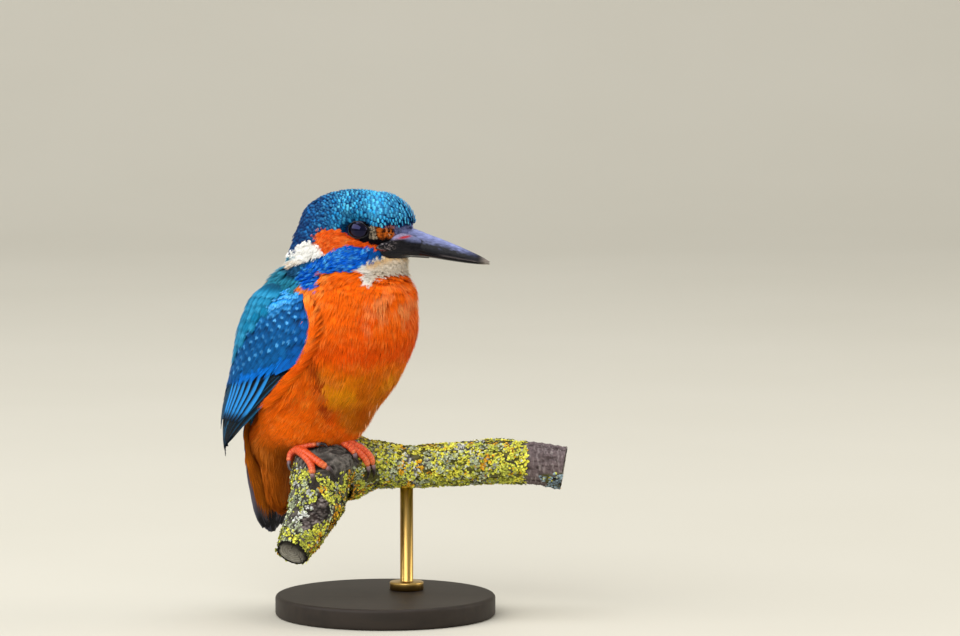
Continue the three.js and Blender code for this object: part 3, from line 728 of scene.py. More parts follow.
hornRoot = {
    "from": 12.6, "to": 31.0, "lift": 0.3, "sunk": 0.35, "groove": 0.3, "rows": 84, "columns": 34,
    "turnIn": (1.15, 0.67), "nostril": (22.7, -2.2, 0.12), "slit": (1.9, 0.44),
    "top": [
        (12.6, -6.0), (13.6, -4.9), (15, -4.1), (17.5, -3.3), (19.5, -1.4), (21.5, -0.6), (25, -1.4),
        (31, -3.6),
    ],
    "foot": [(12.6, -6.4), (14.2, -6.8), (15.2, -8.8), (17.5, -9.9), (20, -10.1), (24, -10.3), (31, -10.6)],
}


def billRoot(side):  # the horn's root over the cheek: a patch between two edges, cast sideways on the flesh
    f = np.linspace(hornRoot["from"], hornRoot["to"], hornRoot["rows"])[:, None]
    top, foot = (np.interp(f, *np.transpose(hornRoot[edge])) for edge in ("top", "foot"))
    share = np.linspace(0, 1, hornRoot["columns"])
    u = top + (foot - top) * share
    f = np.broadcast_to(f, u.shape)
    trueF, trueU = f - hornRoot["turnIn"][0], u - hornRoot["turnIn"][1]
    sign = 1 if side == "l" else -1
    start = placed(headFrame, np.stack([trueF, 0 * trueU, trueU], -1))
    cheek = fleshEdge(start, np.broadcast_to(sign * headFrame["axes"][1], start.shape), 0.0, 14.0, 14)
    ridge, mouth, keel, wide = billLevels(trueF)
    reach = np.where(trueU > mouth, (trueU - mouth) / (ridge - mouth), (mouth - trueU) / (mouth - keel))
    onBill = wide * np.sqrt(np.clip(1 - reach ** 2, 0.02, 1)) - 0.1
    edge = ease(0, 0.2, share) * ease(1, 0.84, share) * ease(12.6, 14.2, f) * ease(31, 25.5, f)
    cut = bell(u, -6.3 - 0.16 * (f - 12.6), 0.22)
    scratch = softNoise(np.stack([f * 0.5, u * 2.4, 0 * u], -1), 0.9, 24)
    fromX, fromY, slope = hornRoot["nostril"]
    away = np.stack([f - fromX, u - fromY - slope * (f - fromX)], -1)
    slit = np.exp(-((away / hornRoot["slit"]) ** 2).sum(-1) * 1.3)
    relief = hornRoot["lift"] - hornRoot["groove"] * cut - 0.4 * slit + 0.1 * (scratch - 0.5)
    ground = np.maximum(cheek, onBill)
    standing = (cheek - onBill)[np.abs(f[:, 0] - 18.5).argmin()]  # how far the cheek stands out from the bill
    fillet = np.clip((29.5 - f) / 11, 0, 1) ** 1.6 * (f > 18.5)
    raised = np.maximum(ground, onBill + standing * fillet) + relief
    l = ground - hornRoot["sunk"] + (raised - ground + hornRoot["sunk"]) * edge
    points = placed(headFrame, np.stack([trueF, sign * l, trueU], -1)).reshape(-1, 3)
    faces = gridFaces(*u.shape)
    fine = softNoise(np.stack([f, u * 1.6, 0 * u], -1), 0.45, 25)
    colour = billPaint["horn"]
    for name, amount in (
        ("base", 0.5 * scratch),
        ("scale", 0.75 * ease(0.66, 0.82, fine) * ease(21, 18, f) * ease(-7.6, -6.6, u)),
        ("flesh", 0.75 * ease(-3.4, -2.2, u) * ease(17.5, 19.5, f) * ease(27, 22.5, f)),
        # painted sheen on the root's top
        ("sheen", 0.5 * ease(-4.6, -3.0, u + 0.12 * (f - 24)) * ease(22, 26, f)),
        ("nostril", np.clip(1.5 * slit, 0, 1)),
        ("gape", 0.75 * cut * ease(17.5, 14, f)),
    ):
        colour = blendTo(colour, billPaint[name], amount)
    return points, [faces if sign < 0 else faces[:, ::-1]], colour.reshape(-1, 3)


for side in "rl":
    points, faces, colour = billRoot(side)
    makePiece("billRoot" + side.upper(), points, faces, horn, slot="bill_horn", colours=colour)
print("bill")

# Eyes: a wet ball, and a rolled lid that follows an almond on it.
lidShape = {
    "length": 3.8, "height": 3.3, "lowHeight": 2.65, "tilt": -10, "reach": 1.17, "roll": 0.3, "around": 96,
    "across": 9,
}
eyeColours = {"pupil": "#030304", "iris": "#0C0706", "rim": "#070504", "lid": "#060609", "lidEdge": "#16151B"}
eyePaint = linearTable(eyeColours)


def eyeBall(side):  # a sphere with its poles on the line of sight, so its rows are rings round the pupil
    sign = 1 if side == "l" else -1
    middle = eyeMiddles[side]
    sight = unit(np.array([0.24, sign, 0.06]) @ headFrame["axes"])
    over = unit(np.cross(sight, np.array([0, 0, 1.0])))
    ring = np.linspace(0, np.pi, 46)[1:-1]
    turn = np.linspace(0, 2 * np.pi, 64, endpoint=False)
    radius = eyeShape["radius"] * (1 + 0.03 * bell(ring, 0, 0.5))  # the cornea bulges a little
    around = over * np.cos(turn)[:, None] + np.cross(over, sight) * np.sin(turn)[:, None]
    rings = middle + sight * (radius * np.cos(ring))[:, None, None]
    rings = rings + around * (radius * np.sin(ring))[:, None, None]
    points, faces = closedLoft(
        rings, middle + sight * eyeShape["radius"] * 1.03, middle - sight * eyeShape["radius"],
    )
    angle = np.arccos(np.clip(unit(points - middle) @ sight, -1, 1))
    colour = blendTo(eyePaint["pupil"], eyePaint["iris"], ease(0.42, 0.48, angle))
    return points, faces, blendTo(colour, eyePaint["rim"], ease(0.85, 1.05, angle))


def eyelid(side):  # rings round the eye: on the ball at the almond, rolled out, then down to the flesh
    sign = 1 if side == "l" else -1
    turn = np.linspace(0, 2 * np.pi, lidShape["around"], endpoint=False)
    across = np.linspace(-0.12, 1, lidShape["across"])
    tilt = np.radians(lidShape["tilt"])
    tall = np.where(np.sin(turn) > 0, lidShape["height"], lidShape["lowHeight"])
    a, b = lidShape["length"] * np.cos(turn), tall * np.sin(turn) * (1 - 0.12 * np.cos(turn))
    grow = 1 + (lidShape["reach"] - 1) * across[:, None]
    forward = (a * np.cos(tilt) - b * np.sin(tilt)) * grow
    up = (a * np.sin(tilt) + b * np.cos(tilt)) * grow
    deep = np.sqrt(np.maximum((eyeShape["radius"] + 0.08) ** 2 - forward ** 2 - up ** 2, 0.4))
    roll = lidShape["roll"] * np.sin(np.pi * np.clip(across + 0.12, 0, 1)) ** 0.8
    scales = 0.05 * np.sin(turn * 30)[None] * np.sin(np.pi * np.clip(across, 0, 1))[:, None]
    local = np.stack([forward, sign * (deep + roll[:, None] + scales), up], -1)
    points = eyeMiddles[side] + local @ headFrame["axes"]
    points = blendTo(points, settle(points, -0.55, 2), ease(0.35, 1, across)[:, None])
    faces = gridFaces(len(across), len(turn), True)
    pale = 0.7 * (roll / lidShape["roll"])[:, None] * np.ones(len(turn))
    colour = blendTo(eyePaint["lid"], eyePaint["lidEdge"], pale)
    return points.reshape(-1, 3), [faces if sign < 0 else faces[:, ::-1]], colour.reshape(-1, 3)


# Cornea over a dark iris: mirror smooth, so it shows the lamps as sharp highlights.
cornea = paintedFinish(
    "wetCornea", {"Roughness": 0.05, "IOR": 1.5, "Specular Tint": rgba("#A6A8FF")}, "TexNoise",
    {"Scale": 2600.0, "Detail": 2.0}, {"To Min": 0.6, "To Max": 1.4},
)
# Bare lid skin: dark, leathery, with tiny beads that catch a dull light.
lidLeather = paintedFinish(
    "beadedLidSkin", {"Roughness": 0.5}, "TexVoronoi", {"Scale": 3200.0}, {"To Min": 1.3, "To Max": 0.7},
    {"Strength": 0.5, "Distance": 0.0001, "invert": True}, read="Distance",
)
for side in "rl":
    points, faces, colour = eyeBall(side)
    makePiece(
        "eyeBall" + side.upper(), points, faces, cornea, ("eye_" + side,), "eye_surface", colours=colour,
    )
    points, faces, colour = eyelid(side)
    makePiece("eyelid" + side.upper(), points, faces, lidLeather, slot="crown_feathers", colours=colour)
print("eyes")


# Feathers. Each one follows a spine; a whole vane is a grid across it, a frayed one is cut into blades.
featherPatch = 0.003  # size of one feather's patch on the bake map


def spreadRoots(spacing, mask, seed):
    # a golden-ratio lattice carried through the running sums of area over spacing squared
    along = skinGrid[1:] - skinGrid[:-1]
    across = np.roll(skinGrid, -1, axis=1) - skinGrid
    area = np.linalg.norm(np.cross(along, across[:-1]), axis=-1)
    weight = area * mask[:-1] / spacing ** 2
    number = np.arange(int(weight.sum()))
    x = (0.5 + seed * 0.137 + number * 0.7548776662466927) % 1
    y = (0.5 + seed * 0.311 + number * 0.5698402909980532) % 1
    rowSum = np.concatenate([[0], np.cumsum(weight.sum(1))])
    rowPlace = np.interp(x * rowSum[-1], rowSum, np.arange(len(rowSum)))
    row = np.minimum(rowPlace.astype(int), len(weight) - 1)
    inRow = np.cumsum(weight, axis=1)
    inRow = inRow / np.maximum(inRow[:, -1:], 1e-9) + np.arange(len(weight))[:, None]
    place = np.searchsorted(inRow.ravel(), row + y)
    column = np.clip(place - row * weight.shape[1], 0, weight.shape[1] - 1)
    a, b = (rowPlace - row)[:, None], ((number * 0.618034) % 1)[:, None]
    right = (column + 1) % skinGrid.shape[1]
    top = skinGrid[row, column] * (1 - b) + skinGrid[row, right] * b
    foot = skinGrid[row + 1, column] * (1 - b) + skinGrid[row + 1, right] * b
    spot = np.stack([(column + b[:, 0]) / skinGrid.shape[1], (row + a[:, 0]) / skinGrid.shape[0]], 1)
    return top * (1 - a) + foot * a, spot


def lieAt(points, normal):
    # which way feathers lie: back over the head, down the breast, back under the belly
    head, body = localTo(headFrame, points), localTo(bodyFrame, points)
    onHead = ease(127, 137, points[..., 2])
    behind = ease(2, -18, head[..., 0])
    low = ease(-3, -10, head[..., 2])
    chin = ease(4, 10, head[..., 0]) * low
    headWay = np.stack([
        -(1 - 0.7 * behind) * (1 - 0.55 * chin),
        np.sign(head[..., 1]) * (0.12 + 0.1 * low),
        -(0.06 + 1.15 * behind + 0.3 * low * (1 - chin) + 0.8 * chin),
    ], -1) @ headFrame["axes"]
    under = ease(102, 76, body[..., 2])
    tailward = ease(68, 58, body[..., 2])
    bodyWay = np.stack([
        -(0.12 + 0.75 * under) * (1 - tailward) + 0.14 * tailward,
        np.clip(body[..., 1] / 16, -1, 1) * 0.16 * (1 - under),
        -np.ones(body.shape[:-1]),
    ], -1) @ bodyFrame["axes"]
    way = blendTo(bodyWay, headWay, onHead)
    return unit(way - normal * (way * normal).sum(-1, keepdims=True))


def fleshSpines(roots, lengths, rows, rootHeight, tipHeight, sway):
    # steps along the lie from each root and settles on the flesh, a little higher each time
    share = np.linspace(0, 1, rows)
    turnOver, turnAside = np.cos(sway)[:, None], np.sin(sway)[:, None]
    point = settle(roots, rootHeight, 1)
    spine, outward = [], []
    for r in range(rows):
        if r:
            way = lieAt(point, normal)
            way = way * turnOver + np.cross(normal, way) * turnAside
            point = point + way * (lengths * (share[r] - share[r - 1]))[:, None]
            point = settle(point, rootHeight + (tipHeight - rootHeight) * share[r] ** 0.8, 1)
        normal = unit(fleshField(point)[1])
        spine.append(point)
        outward.append(normal)
    return np.stack(spine, 1), np.stack(outward, 1)


def acrossSpines(spine, outward):  # the direction across each spine: outward x ahead
    return unit(np.cross(outward, unit(np.gradient(spine, axis=1))))


def wholeVanes(spine, outward, halfWidth, cup=0.12, lean=0.0, columns=5):
    # a grid over each spine: across it by v from -1 to 1, falling by cup*v*v; rounded by the width's own
    # profile
    count, rows = spine.shape[:2]
    v = np.linspace(-1, 1, columns)
    offset = halfWidth[..., None] * v
    fall = cup * halfWidth[..., None] * v ** 2 - lean * offset
    across = acrossSpines(spine, outward)
    points = spine[:, :, None] + across[:, :, None] * offset[..., None]
    points = points - outward[:, :, None] * fall[..., None]
    along, side = np.meshgrid(np.linspace(0, 1, rows), v, indexing="ij")
    vane = np.broadcast_to(np.stack([side * 0.5 + 0.5, along], -1), (count, rows, columns, 2)).reshape(-1, 2)
    points, faces = points.reshape(-1, 3), manyGrids(count, rows, columns)
    return points, sheetsOut(
        points, [faces], np.repeat(outward.reshape(-1, 3), columns, axis=0)[faces[:, 0]],
    ), vane


def frayedVanes(spine, outward, halfWidth, blades, fray=0.35, splay=0.18, taper=0.35):
    # blades side by side over each spine, each with its own length and lean, ending in a point
    count, rows = spine.shape[:2]
    v = (np.arange(blades) + 0.5) / blades * 2 - 1
    reach = 1 - fray * 0.45 * v ** 2 - fray * draw.random((count, blades)) * 0.8
    u = np.linspace(0, 1, rows)
    at = reach[:, :, None] * u * (rows - 1)
    low = np.minimum(at.astype(int), rows - 2)
    share = at - low
    pick = np.arange(count)[:, None, None]
    centre, up, across = (
        blendTo(rowsOf[pick, low], rowsOf[pick, low + 1], share)
        for rowsOf in (spine, outward, acrossSpines(spine, outward))
    )
    half = halfWidth[:, None, None]
    wide = half * np.minimum(1, 0.35 + 1.5 * u)
    lean = splay * (draw.random((count, blades, 1)) - 0.5) * 2 * half * u ** 1.5
    lift = (draw.random((count, blades, 1)) - 0.35) * 0.25 * u ** 2 - 0.1 * half * v[:, None] ** 2
    centre = centre + across * (v[:, None] * wide + lean)[..., None] + up * lift[..., None]
    thin = half / blades * 1.35 * (1 - ease(taper, 1.0, u)) * np.minimum(1, 0.5 + 2 * u)
    left, right = centre - across * thin[..., None], centre + across * thin[..., None]
    body = np.stack([left[:, :, :-1], right[:, :, :-1]], 3).reshape(count, blades, -1, 3)
    points = np.concatenate([body, centre[:, :, -1:]], 2)
    each = points.shape[2]
    r = 2 * np.arange(rows - 2)
    start = (np.arange(count * blades) * each)[:, None, None]
    quads = (np.stack([r, r + 1, r + 3, r + 2], 1)[None] + start).reshape(-1, 4)
    tips = (np.array([[each - 3, each - 2, each - 1]])[None] + start).reshape(-1, 3)
    ups = np.concatenate([np.repeat(up[:, :, :-1], 2, axis=2), up[:, :, -1:]], 2).reshape(-1, 3)
    points = points.reshape(-1, 3)
    rowU = np.concatenate([np.repeat(u[:-1], 2), u[-1:]])
    rowSide = np.concatenate([np.tile([0.0, 1.0], rows - 1), [0.5]])
    vaneU = np.broadcast_to(rowU, (count, blades, each))
    vaneV = np.broadcast_to((np.arange(blades)[:, None] + rowSide[None]) / blades, vaneU.shape)
    return points, sheetsOut(
        points, [quads, tips], ups[quads[:, 0]],
    ), np.stack([vaneV, vaneU], -1).reshape(-1, 2)


def spreadOver(perFeather, vane):  # one value or colour for each feather or blade, carried to all its points
    return np.repeat(perFeather, len(vane) // len(perFeather), axis=0)


def bakePlace(spots, vane):  # each feather's patch on the bake map, at its root's place
    return spreadOver(np.asarray(spots), vane) * 0.99 + featherPatch * (vane - 0.5) + 0.005


def featherPiece(name, points, faces, vane, spots, colours, material, slot, nodes=(), values=None):
    # one piece of feathers, with its patches on the bake map and its places along and across the vanes
    maps = {"OFBake": bakePlace(spots, vane), "Vane": vane}
    makePiece(name, points, faces, material, nodes, slot, colours.reshape(-1, 3), maps, values)


def featherFinish(name, barbs, gloss, sheen=0.25, sheenTint="#FFFFFF", metal=0.0, contrast=0.22, spot=None):
    # a feather: barbs slant from the shaft to the tip, so light breaks along fine lines; blue ones glint
    material, tree, shader = newMaterial(name, {
        "Roughness": gloss, "Specular IOR Level": 0.06, "Sheen Weight": sheen * 0.25, "Sheen Roughness": 0.4,
        "Sheen Tint": rgba(sheenTint), "Metallic": metal,
    })
    paintNode = addNode(tree, "Attribute", {"attribute_name": "plumage"})
    vane = addNode(tree, "UVMap", {"uv_map": "Vane"})
    parts = addNode(tree, "SeparateXYZ", links={0: vane.outputs[0]})
    centre = addNode(tree, "Math", {"operation": "SUBTRACT", 1: 0.5}, {0: parts.outputs[0]})
    aside = addNode(tree, "Math", {"operation": "ABSOLUTE"}, {0: centre.outputs[0]})
    slant = addNode(
        tree, "Math", {"operation": "MULTIPLY_ADD", 1: -0.9}, {0: aside.outputs[0], 2: parts.outputs[1]},
    )
    lines = addNode(tree, "Math", {"operation": "MULTIPLY", 1: barbs * 2 * np.pi}, {0: slant.outputs[0]})
    wave = addNode(tree, "Math", {"operation": "SINE"}, {0: lines.outputs[0]})
    place = addNode(tree, "TexCoord")
    cloud = addNode(tree, "TexNoise", {"Scale": 900.0, "Detail": 2.0}, {"Vector": place.outputs["Object"]})
    wander = addNode(
        tree, "Math", {"operation": "MULTIPLY_ADD", 1: 0.5}, {0: wave.outputs[0], 2: cloud.outputs["Fac"]},
    )
    shade = addNode(
        tree, "MapRange", {"To Min": 1 - contrast, "To Max": 1 + contrast * 0.8},
        {"Value": wander.outputs[0]},
    )
    mixed = addNode(
        tree, "VectorMath", {"operation": "MULTIPLY"},
        {0: paintNode.outputs["Color"], 1: shade.outputs["Result"]},
    )
    colour = mixed.outputs[0]
    if spot:  # an oval of another colour on the vane, as strong as each feather's own spot value
        strength = addNode(tree, "Attribute", {"attribute_name": "spot"})
        ahead = addNode(tree, "Math", {"operation": "SUBTRACT", 1: spot["place"]}, {0: parts.outputs[1]})
        ahead = addNode(tree, "Math", {"operation": "DIVIDE", 1: spot["length"]}, {0: ahead.outputs[0]})
        beside = addNode(tree, "Math", {"operation": "DIVIDE", 1: spot["width"]}, {0: centre.outputs[0]})
        both = addNode(tree, "CombineXYZ", links={0: ahead.outputs[0], 1: beside.outputs[0]})
        far = addNode(tree, "VectorMath", {"operation": "LENGTH"}, {0: both.outputs[0]})
        inside = addNode(
            tree, "MapRange", {"From Min": 1.0, "From Max": 0.55}, {"Value": far.outputs["Value"]},
        )
        amount = addNode(
            tree, "Math", {"operation": "MULTIPLY"},
            {0: inside.outputs["Result"], 1: strength.outputs["Fac"]},
        )
        tone = addNode(
            tree, "Mix", {"data_type": "RGBA", 7: rgba(spot["colour"])}, {0: amount.outputs[0], 6: colour},
        )
        colour = tone.outputs[2]
    shaft = addNode(
        tree, "MapRange", {"From Min": 0.012, "From Max": 0.035, "To Min": 0.35, "To Max": 0.0},
        {"Value": aside.outputs[0]},
    )
    dark = addNode(
        tree, "Mix", {"data_type": "RGBA", 7: rgba("#0A0E16")}, {0: shaft.outputs["Result"], 6: colour},
    )
    bump = addNode(tree, "Bump", {"Strength": 0.35, "Distance": 0.0001}, {"Height": wander.outputs[0]})
    tree.links.new(dark.outputs[2], shader.inputs["Base Color"])
    tree.links.new(bump.outputs[0], shader.inputs["Normal"])
    return material


# Which roots are free: not under a folded wing, the bill or the lids.
# Rows of the wing: height, front edge (forward, left), back edge (forward, left).
wingTable = [
    [61.5, -36.2, 16, -37, 15.4], [64, -33.5, 18.6, -37.6, 13.8], [67, -29.5, 20.3, -38.4, 12],
    [72, -23.2, 22.3, -39.2, 10.6], [78, -15.4, 24.3, -39, 9.6], [84.6, -7.2, 25.9, -37.7, 8.6],
    [91, 0, 27.2, -36.2, 7.8], [97, 6, 27.9, -34.8, 7.2], [103, 10.6, 28.3, -33.8, 7],
    [109, 13, 28, -32.4, 7.4],
    [115, 13, 27, -29.6, 8.2], [121, 9.8, 25, -25.4, 10], [126, 3, 20.6, -18.6, 12.6],
    [128.2, -4, 18.4, -13, 15],
]


def wingLevel(z):  # front and back edge of the wing at a height: forward, left, forward, left
    return np.moveaxis(smoothRows(wingTable, np.clip(z, wingTable[0][0], wingTable[-1][0])), -1, 0)


def freeOf(points):  # 1 where feathers may root
    f, l, u = localColumns(bodyFrame, points)
    frontF, frontL, backF, backL = wingLevel(u)
    under = (u > 64) & (u < 126.5) & (f < frontF - 1.2 + 1.8 * ease(96, 103, u)) & (np.abs(l) > backL + 0.5)
    f, l, u = localColumns(headFrame, points)
    eyes = (np.hypot(f - eyeShape["forward"], (u - eyeShape["up"]) * 1.18) < 4.4) & (np.abs(l) > 6)
    inBill = (f > 15) & (u < 0.2) & (u > -9.8) & (np.abs(l) < 5)
    onHorn = (f > 13.4) & (u < -4.2) & (u > -6.4)
    onHorn |= (f > 15.0) & (u < -4.2) & (u > -9.4)
    onHorn |= (f > 19.0) & (u < -1.2) & (u > -9.4)
    return (~under & ~eyes & ~inBill & ~onHorn).astype(float)


skinLie = lieAt(skinGrid, unit(fleshField(skinGrid)[1]))
skinFree = freeOf(skinGrid)


def rootsIn(zones, reach):  # 1 where a feather lying that far back from its root shows in those zones
    return np.isin(zoneOf(skinGrid + skinLie * reach), [zoneNumber[z] for z in zones]) * skinFree


def nearWing(points):  # 1 just in front of a folded wing, where the body's feathers spill over its edge
    f, l, u = localColumns(bodyFrame, points)
    ahead = f - wingLevel(u)[0]
    near = ease(6.5, 2.5, ahead) * ease(-0.6, 0.4, ahead)
    return near * ease(70, 82, u) * ease(127, 120, u) * (np.abs(l) > 14)


def eyeReach(points):  # distance from the line through both eyes, measured wider upwards and downwards
    f, l, u = localColumns(headFrame, points)
    return np.hypot(f - eyeShape["forward"], (u - eyeShape["up"] - 0.3) * 1.18)


def clearOfEyes(spine):  # which feathers keep off both eyes along their whole length
    return ((eyeReach(spine) > 4.2) | (np.abs(localTo(headFrame, spine)[..., 1]) < 6)).all(axis=1)


draw = np.random.default_rng(7)


def jitter(count, amount):  # for each feather a number round 1, up to that amount more or less
    return 1 + amount * (draw.random(count) - 0.5) * 2


# Soft underparts: frayed feathers over breast, belly, flanks, thighs and under the tail.
underCoat = {
    "spacing": 1.6, "length": 9.5, "halfWidth": 2.1, "blades": 7, "rows": 6, "rise": 0.15, "ahead": 4.0,
    "overWing": 1.5, "clump": 0.7, "fray": 0.35, "splay": 0.2, "vary": 0.2,
}


def softCoat(name, zones, shape, slot, material, colourOf, seed, part=None):
    # roots in those zones, spines along the lie, each feather frayed into blades
    mask = rootsIn(zones, shape["ahead"])
    if part is not None:
        mask = mask * part(skinGrid)
    roots, spots = spreadRoots(shape["spacing"], mask, seed)
    count = len(roots)
    byHeight = np.interp(roots[:, 2], [60, 75, 120, 132], [1.25, 1.0, 0.95, 0.75])
    overPerch = 1 - 0.4 * ease(-20, -14, localTo(bodyFrame, roots)[:, 0]) * ease(84, 77, roots[:, 2])
    length = shape["length"] * jitter(count, 0.22) * byHeight * overPerch
    if "lengthOf" in shape:
        length = shape["lengthOf"](roots) * jitter(count, 0.2)
    rise = shape["rise"] * jitter(count, 0.8) - 0.12
    rise = rise + shape["overWing"] * nearWing(roots) + 0.7 * ease(6.5, 4.6, eyeReach(roots))
    sway = (draw.random(count) - 0.5) * 0.35 + (softNoise(roots, 4.0, seed + 5) - 0.5) * shape["clump"]
    spine, outward = fleshSpines(roots, length, shape["rows"], -coatDepth(roots) * 1.05, rise, sway)
    clear = clearOfEyes(spine)
    spine, outward, spots, count = spine[clear], outward[clear], spots[clear], clear.sum()
    wide = shape["halfWidth"] * jitter(count, 0.2)
    points, faces, vane = frayedVanes(spine, outward, wide, shape["blades"], shape["fray"], shape["splay"])
    base, tip = colourOf(spine[:, -2], count)
    # from root colour to tip colour; where the root is the tip darkened, that is painted shade
    colours = blendTo(spreadOver(base, vane), spreadOver(tip, vane), ease(0.15, 0.85, vane[:, 1]))
    bladeTone = 1 + shape["vary"] * (draw.random(count * shape["blades"]) - 0.5)
    featherPiece(
        name, points, faces, vane, spots, colours * spreadOver(bladeTone, vane)[:, None], material, slot,
    )
    print(name, count, "feathers", sum(len(f) * (f.shape[1] - 2) for f in faces), "triangles")


def underShades(points, count):  # the underparts' colour at the feather, a fifth of the tips paler
    colour = underColour(points) * jitter(count, 0.14)[:, None]
    pale = blendTo(colour, paint["breastPale"], 0.3 * (draw.random(count) > 0.8))
    # the root a fifth darker: painted shade
    return colour * 0.8, pale


def strandShades(points, count):  # loose strands: pale orange at the root, cream at the tip
    return tuple(np.broadcast_to(paint[name], points.shape) for name in ("breastPale", "fringe"))


def isLow(points, height):  # below that height over the floor
    return points[..., 2] < height


def aheadBy(points, forward):  # at least that far forward on the body
    return localTo(bodyFrame, points)[..., 0] >= forward


downFinish = featherFinish("softContourFeather", 26, 0.7, 0.12, "#FF9A50", contrast=0.1)
strandCoat = dict(underCoat, spacing=4.2, length=10, halfWidth=0.35, blades=2, rise=0.9, splay=0.9, fray=0.6)
underTailCoat = dict(underCoat, length=13, spacing=1.9)
for name, zone, shape, slot, shades, seed, part in (
    ("breastFeathers", "under", underCoat, "breast_feathers", underShades, 3, lambda p: ~isLow(p, 98)),
    (
        "bellyFeathers", "under", underCoat, "breast_feathers", underShades, 4,
        lambda p: isLow(p, 98) & aheadBy(p, 4),
    ),
    (
        "flankFeathers", "under", underCoat, "thigh_feathers", underShades, 5,
        lambda p: isLow(p, 98) & ~aheadBy(p, 4),
    ),
    (
        "looseStrands", "under", strandCoat, "breast_feathers", strandShades, 8,
        lambda p: isLow(p, 88) & aheadBy(p, 2) & (localTo(bodyFrame, p)[..., 1] > 0),
    ),
    ("underTailCoverts", "underTail", underTailCoat, "tail_feathers", underShades, 6, None),
):
    softCoat(name, (zone,), shape, slot, downFinish, shades, seed, part)


# Head coat: scales over the crown in rings round the bill, and fine frayed feathers on the face.
crownCoat = {
    "rowStep": 1.3, "sideStep": 1.5, "length": 3.7, "halfWidth": 0.95, "rows": 11, "middle": (1, 0, -3),
}


def crownPlace(polar, azimuth):
    # where a ray from the head's middle meets the flesh: polar from the bill, round by azimuth
    way = np.stack([np.cos(polar), np.sin(polar) * np.sin(azimuth), np.sin(polar) * np.cos(azimuth)], -1)
    way = way @ headFrame["axes"]
    middle = placed(headFrame, crownCoat["middle"])
    return middle + way * fleshEdge(middle, way, 4.0, 34.0, 16)[..., None]


def crownRoots():  # rings at equal arcs from the bill's line, and roots evenly spaced along each ring
    sweep = np.radians(np.linspace(12, 172, 240))
    run = lengthRun(crownPlace(sweep, np.zeros(240)))
    rings = np.interp(np.arange(0.4, run[-1], crownCoat["rowStep"]), run, sweep)
    turn = np.radians(np.linspace(-125, 125, 160))
    step = crownCoat["sideStep"]
    roots, spots = [], []
    for number, polar in enumerate(rings):
        run = lengthRun(crownPlace(np.full(160, polar), turn))
        around = np.interp(np.arange(step * (0.25 + 0.5 * (number % 2)), run[-1], step), run, turn)
        level = np.full(len(around), polar)
        roots.append(crownPlace(level, around))
        spots.append(np.stack([around / (2 * np.pi) + 0.5, level / np.pi], 1))
    return np.concatenate(roots), np.concatenate(spots)


def vaneProfile(rows, root=0.35, tip=0.3):
    # how wide a vane is along it: root to full by a sine, then eased to the tip
    u = np.linspace(0, 1, rows)
    swell = root + (1 - root) * np.sin(np.pi * np.clip(u * 0.95, 0, 0.5))
    return swell * (1 - (1 - tip) * ease(0.72, 1.02, u) ** 1.2)


def crownColour(points, row, v, count):
    # dark scale with a bright bar below its tip; dimmer and bluer to the nape
    f, u, side = sideView(points)
    behind = ease(2, -16, f)
    overEye = bell(f, 2.5, 7) * ease(9.5, 5, u)
    dark = blendTo(paint["crownDark"], paint["napeDark"], behind)
    dark = blendTo(dark, paint["crownFront"], 0.8 * ease(4, 13, f) * ease(3, 7, u))
    dark = blendTo(dark, paint["crownTeal"] * 0.4, 0.7 * overEye)
    light = blendTo(paint["crownLight"], paint["crownSky"], 0.65 * draw.random(count))
    light = blendTo(light, paint["napeLight"], 0.75 * behind)
    light = blendTo(light, paint["crownTeal"], 0.8 * overEye)
    bright = 0.25 + 0.9 * draw.random(count) ** 1.3
    bright = bright * (1 - 0.45 * behind) * (0.55 + 0.6 * softNoise(points, 3.0, 41))
    bright = bright * (1 + 0.5 * ease(2, 12, f)) * (1 - 0.6 * ease(-15, -19, f))
    bar = np.interp(row, [0, 0.6, 0.7, 0.8, 0.9, 1], [0, 0.0, 0.85, 1, 0.35, 0.05])
    strength = bar[None, :, None] * (1 - 0.55 * np.abs(v) ** 3) * bright[:, None, None] * 1.2
    return blendTo(dark[:, None, None], light[:, None, None], np.clip(strength, 0, 1))


def crownFeathers():
    # whole scales on the free roots of crown and nape, longer behind and shorter by the bill
    roots, spots = crownRoots()
    lie = lieAt(roots, unit(fleshField(roots)[1]))
    reach = crownCoat["length"] * (0.75 + 0.4 * ease(0, -18, sideView(roots)[0]))
    zone = zoneOf(roots + lie * reach[:, None], 0.25)
    keep = np.isin(zone, [zoneNumber["crown"], zoneNumber["nape"]]) & (freeOf(roots) > 0)
    roots, spots = roots[keep], spots[keep]
    roots = roots + (draw.random(roots.shape) - 0.5) * 0.75
    count, rows = len(roots), crownCoat["rows"]
    f, u, side = sideView(roots)
    behind = ease(0, -18, f)
    small = ease(13, 20, f)
    length = crownCoat["length"] * (1 + 0.45 * behind - 0.35 * small) * jitter(count, 0.08)
    wide = crownCoat["halfWidth"] * (1 + 0.15 * behind - 0.25 * small) * jitter(count, 0.08)
    over = 0.08 + 0.15 * behind + 0.6 * ease(6.5, 4.6, eyeReach(roots))
    spine, outward = fleshSpines(
        roots, length, rows, -coatDepth(roots), over, (draw.random(count) - 0.5) * 0.35,
    )
    clear = clearOfEyes(spine)
    spine, outward, wide, spots, count = spine[clear], outward[clear], wide[clear], spots[clear], clear.sum()
    points, faces, vane = wholeVanes(spine, outward, wide[:, None] * vaneProfile(rows, 0.5, 0.5), 0.25)
    colours = crownColour(spine[:, -2], np.linspace(0, 1, rows), np.linspace(-1, 1, 5), count)
    # glints like silk
    scale = featherFinish("iridescentCrownScale", 9, 0.45, 0.05, "#9FE8FF", metal=0.1, contrast=0.15)
    featherPiece("crownScales", points, faces, vane, spots, colours, scale, "crown_feathers")
    print("crown", count, "scales")


crownFeathers()


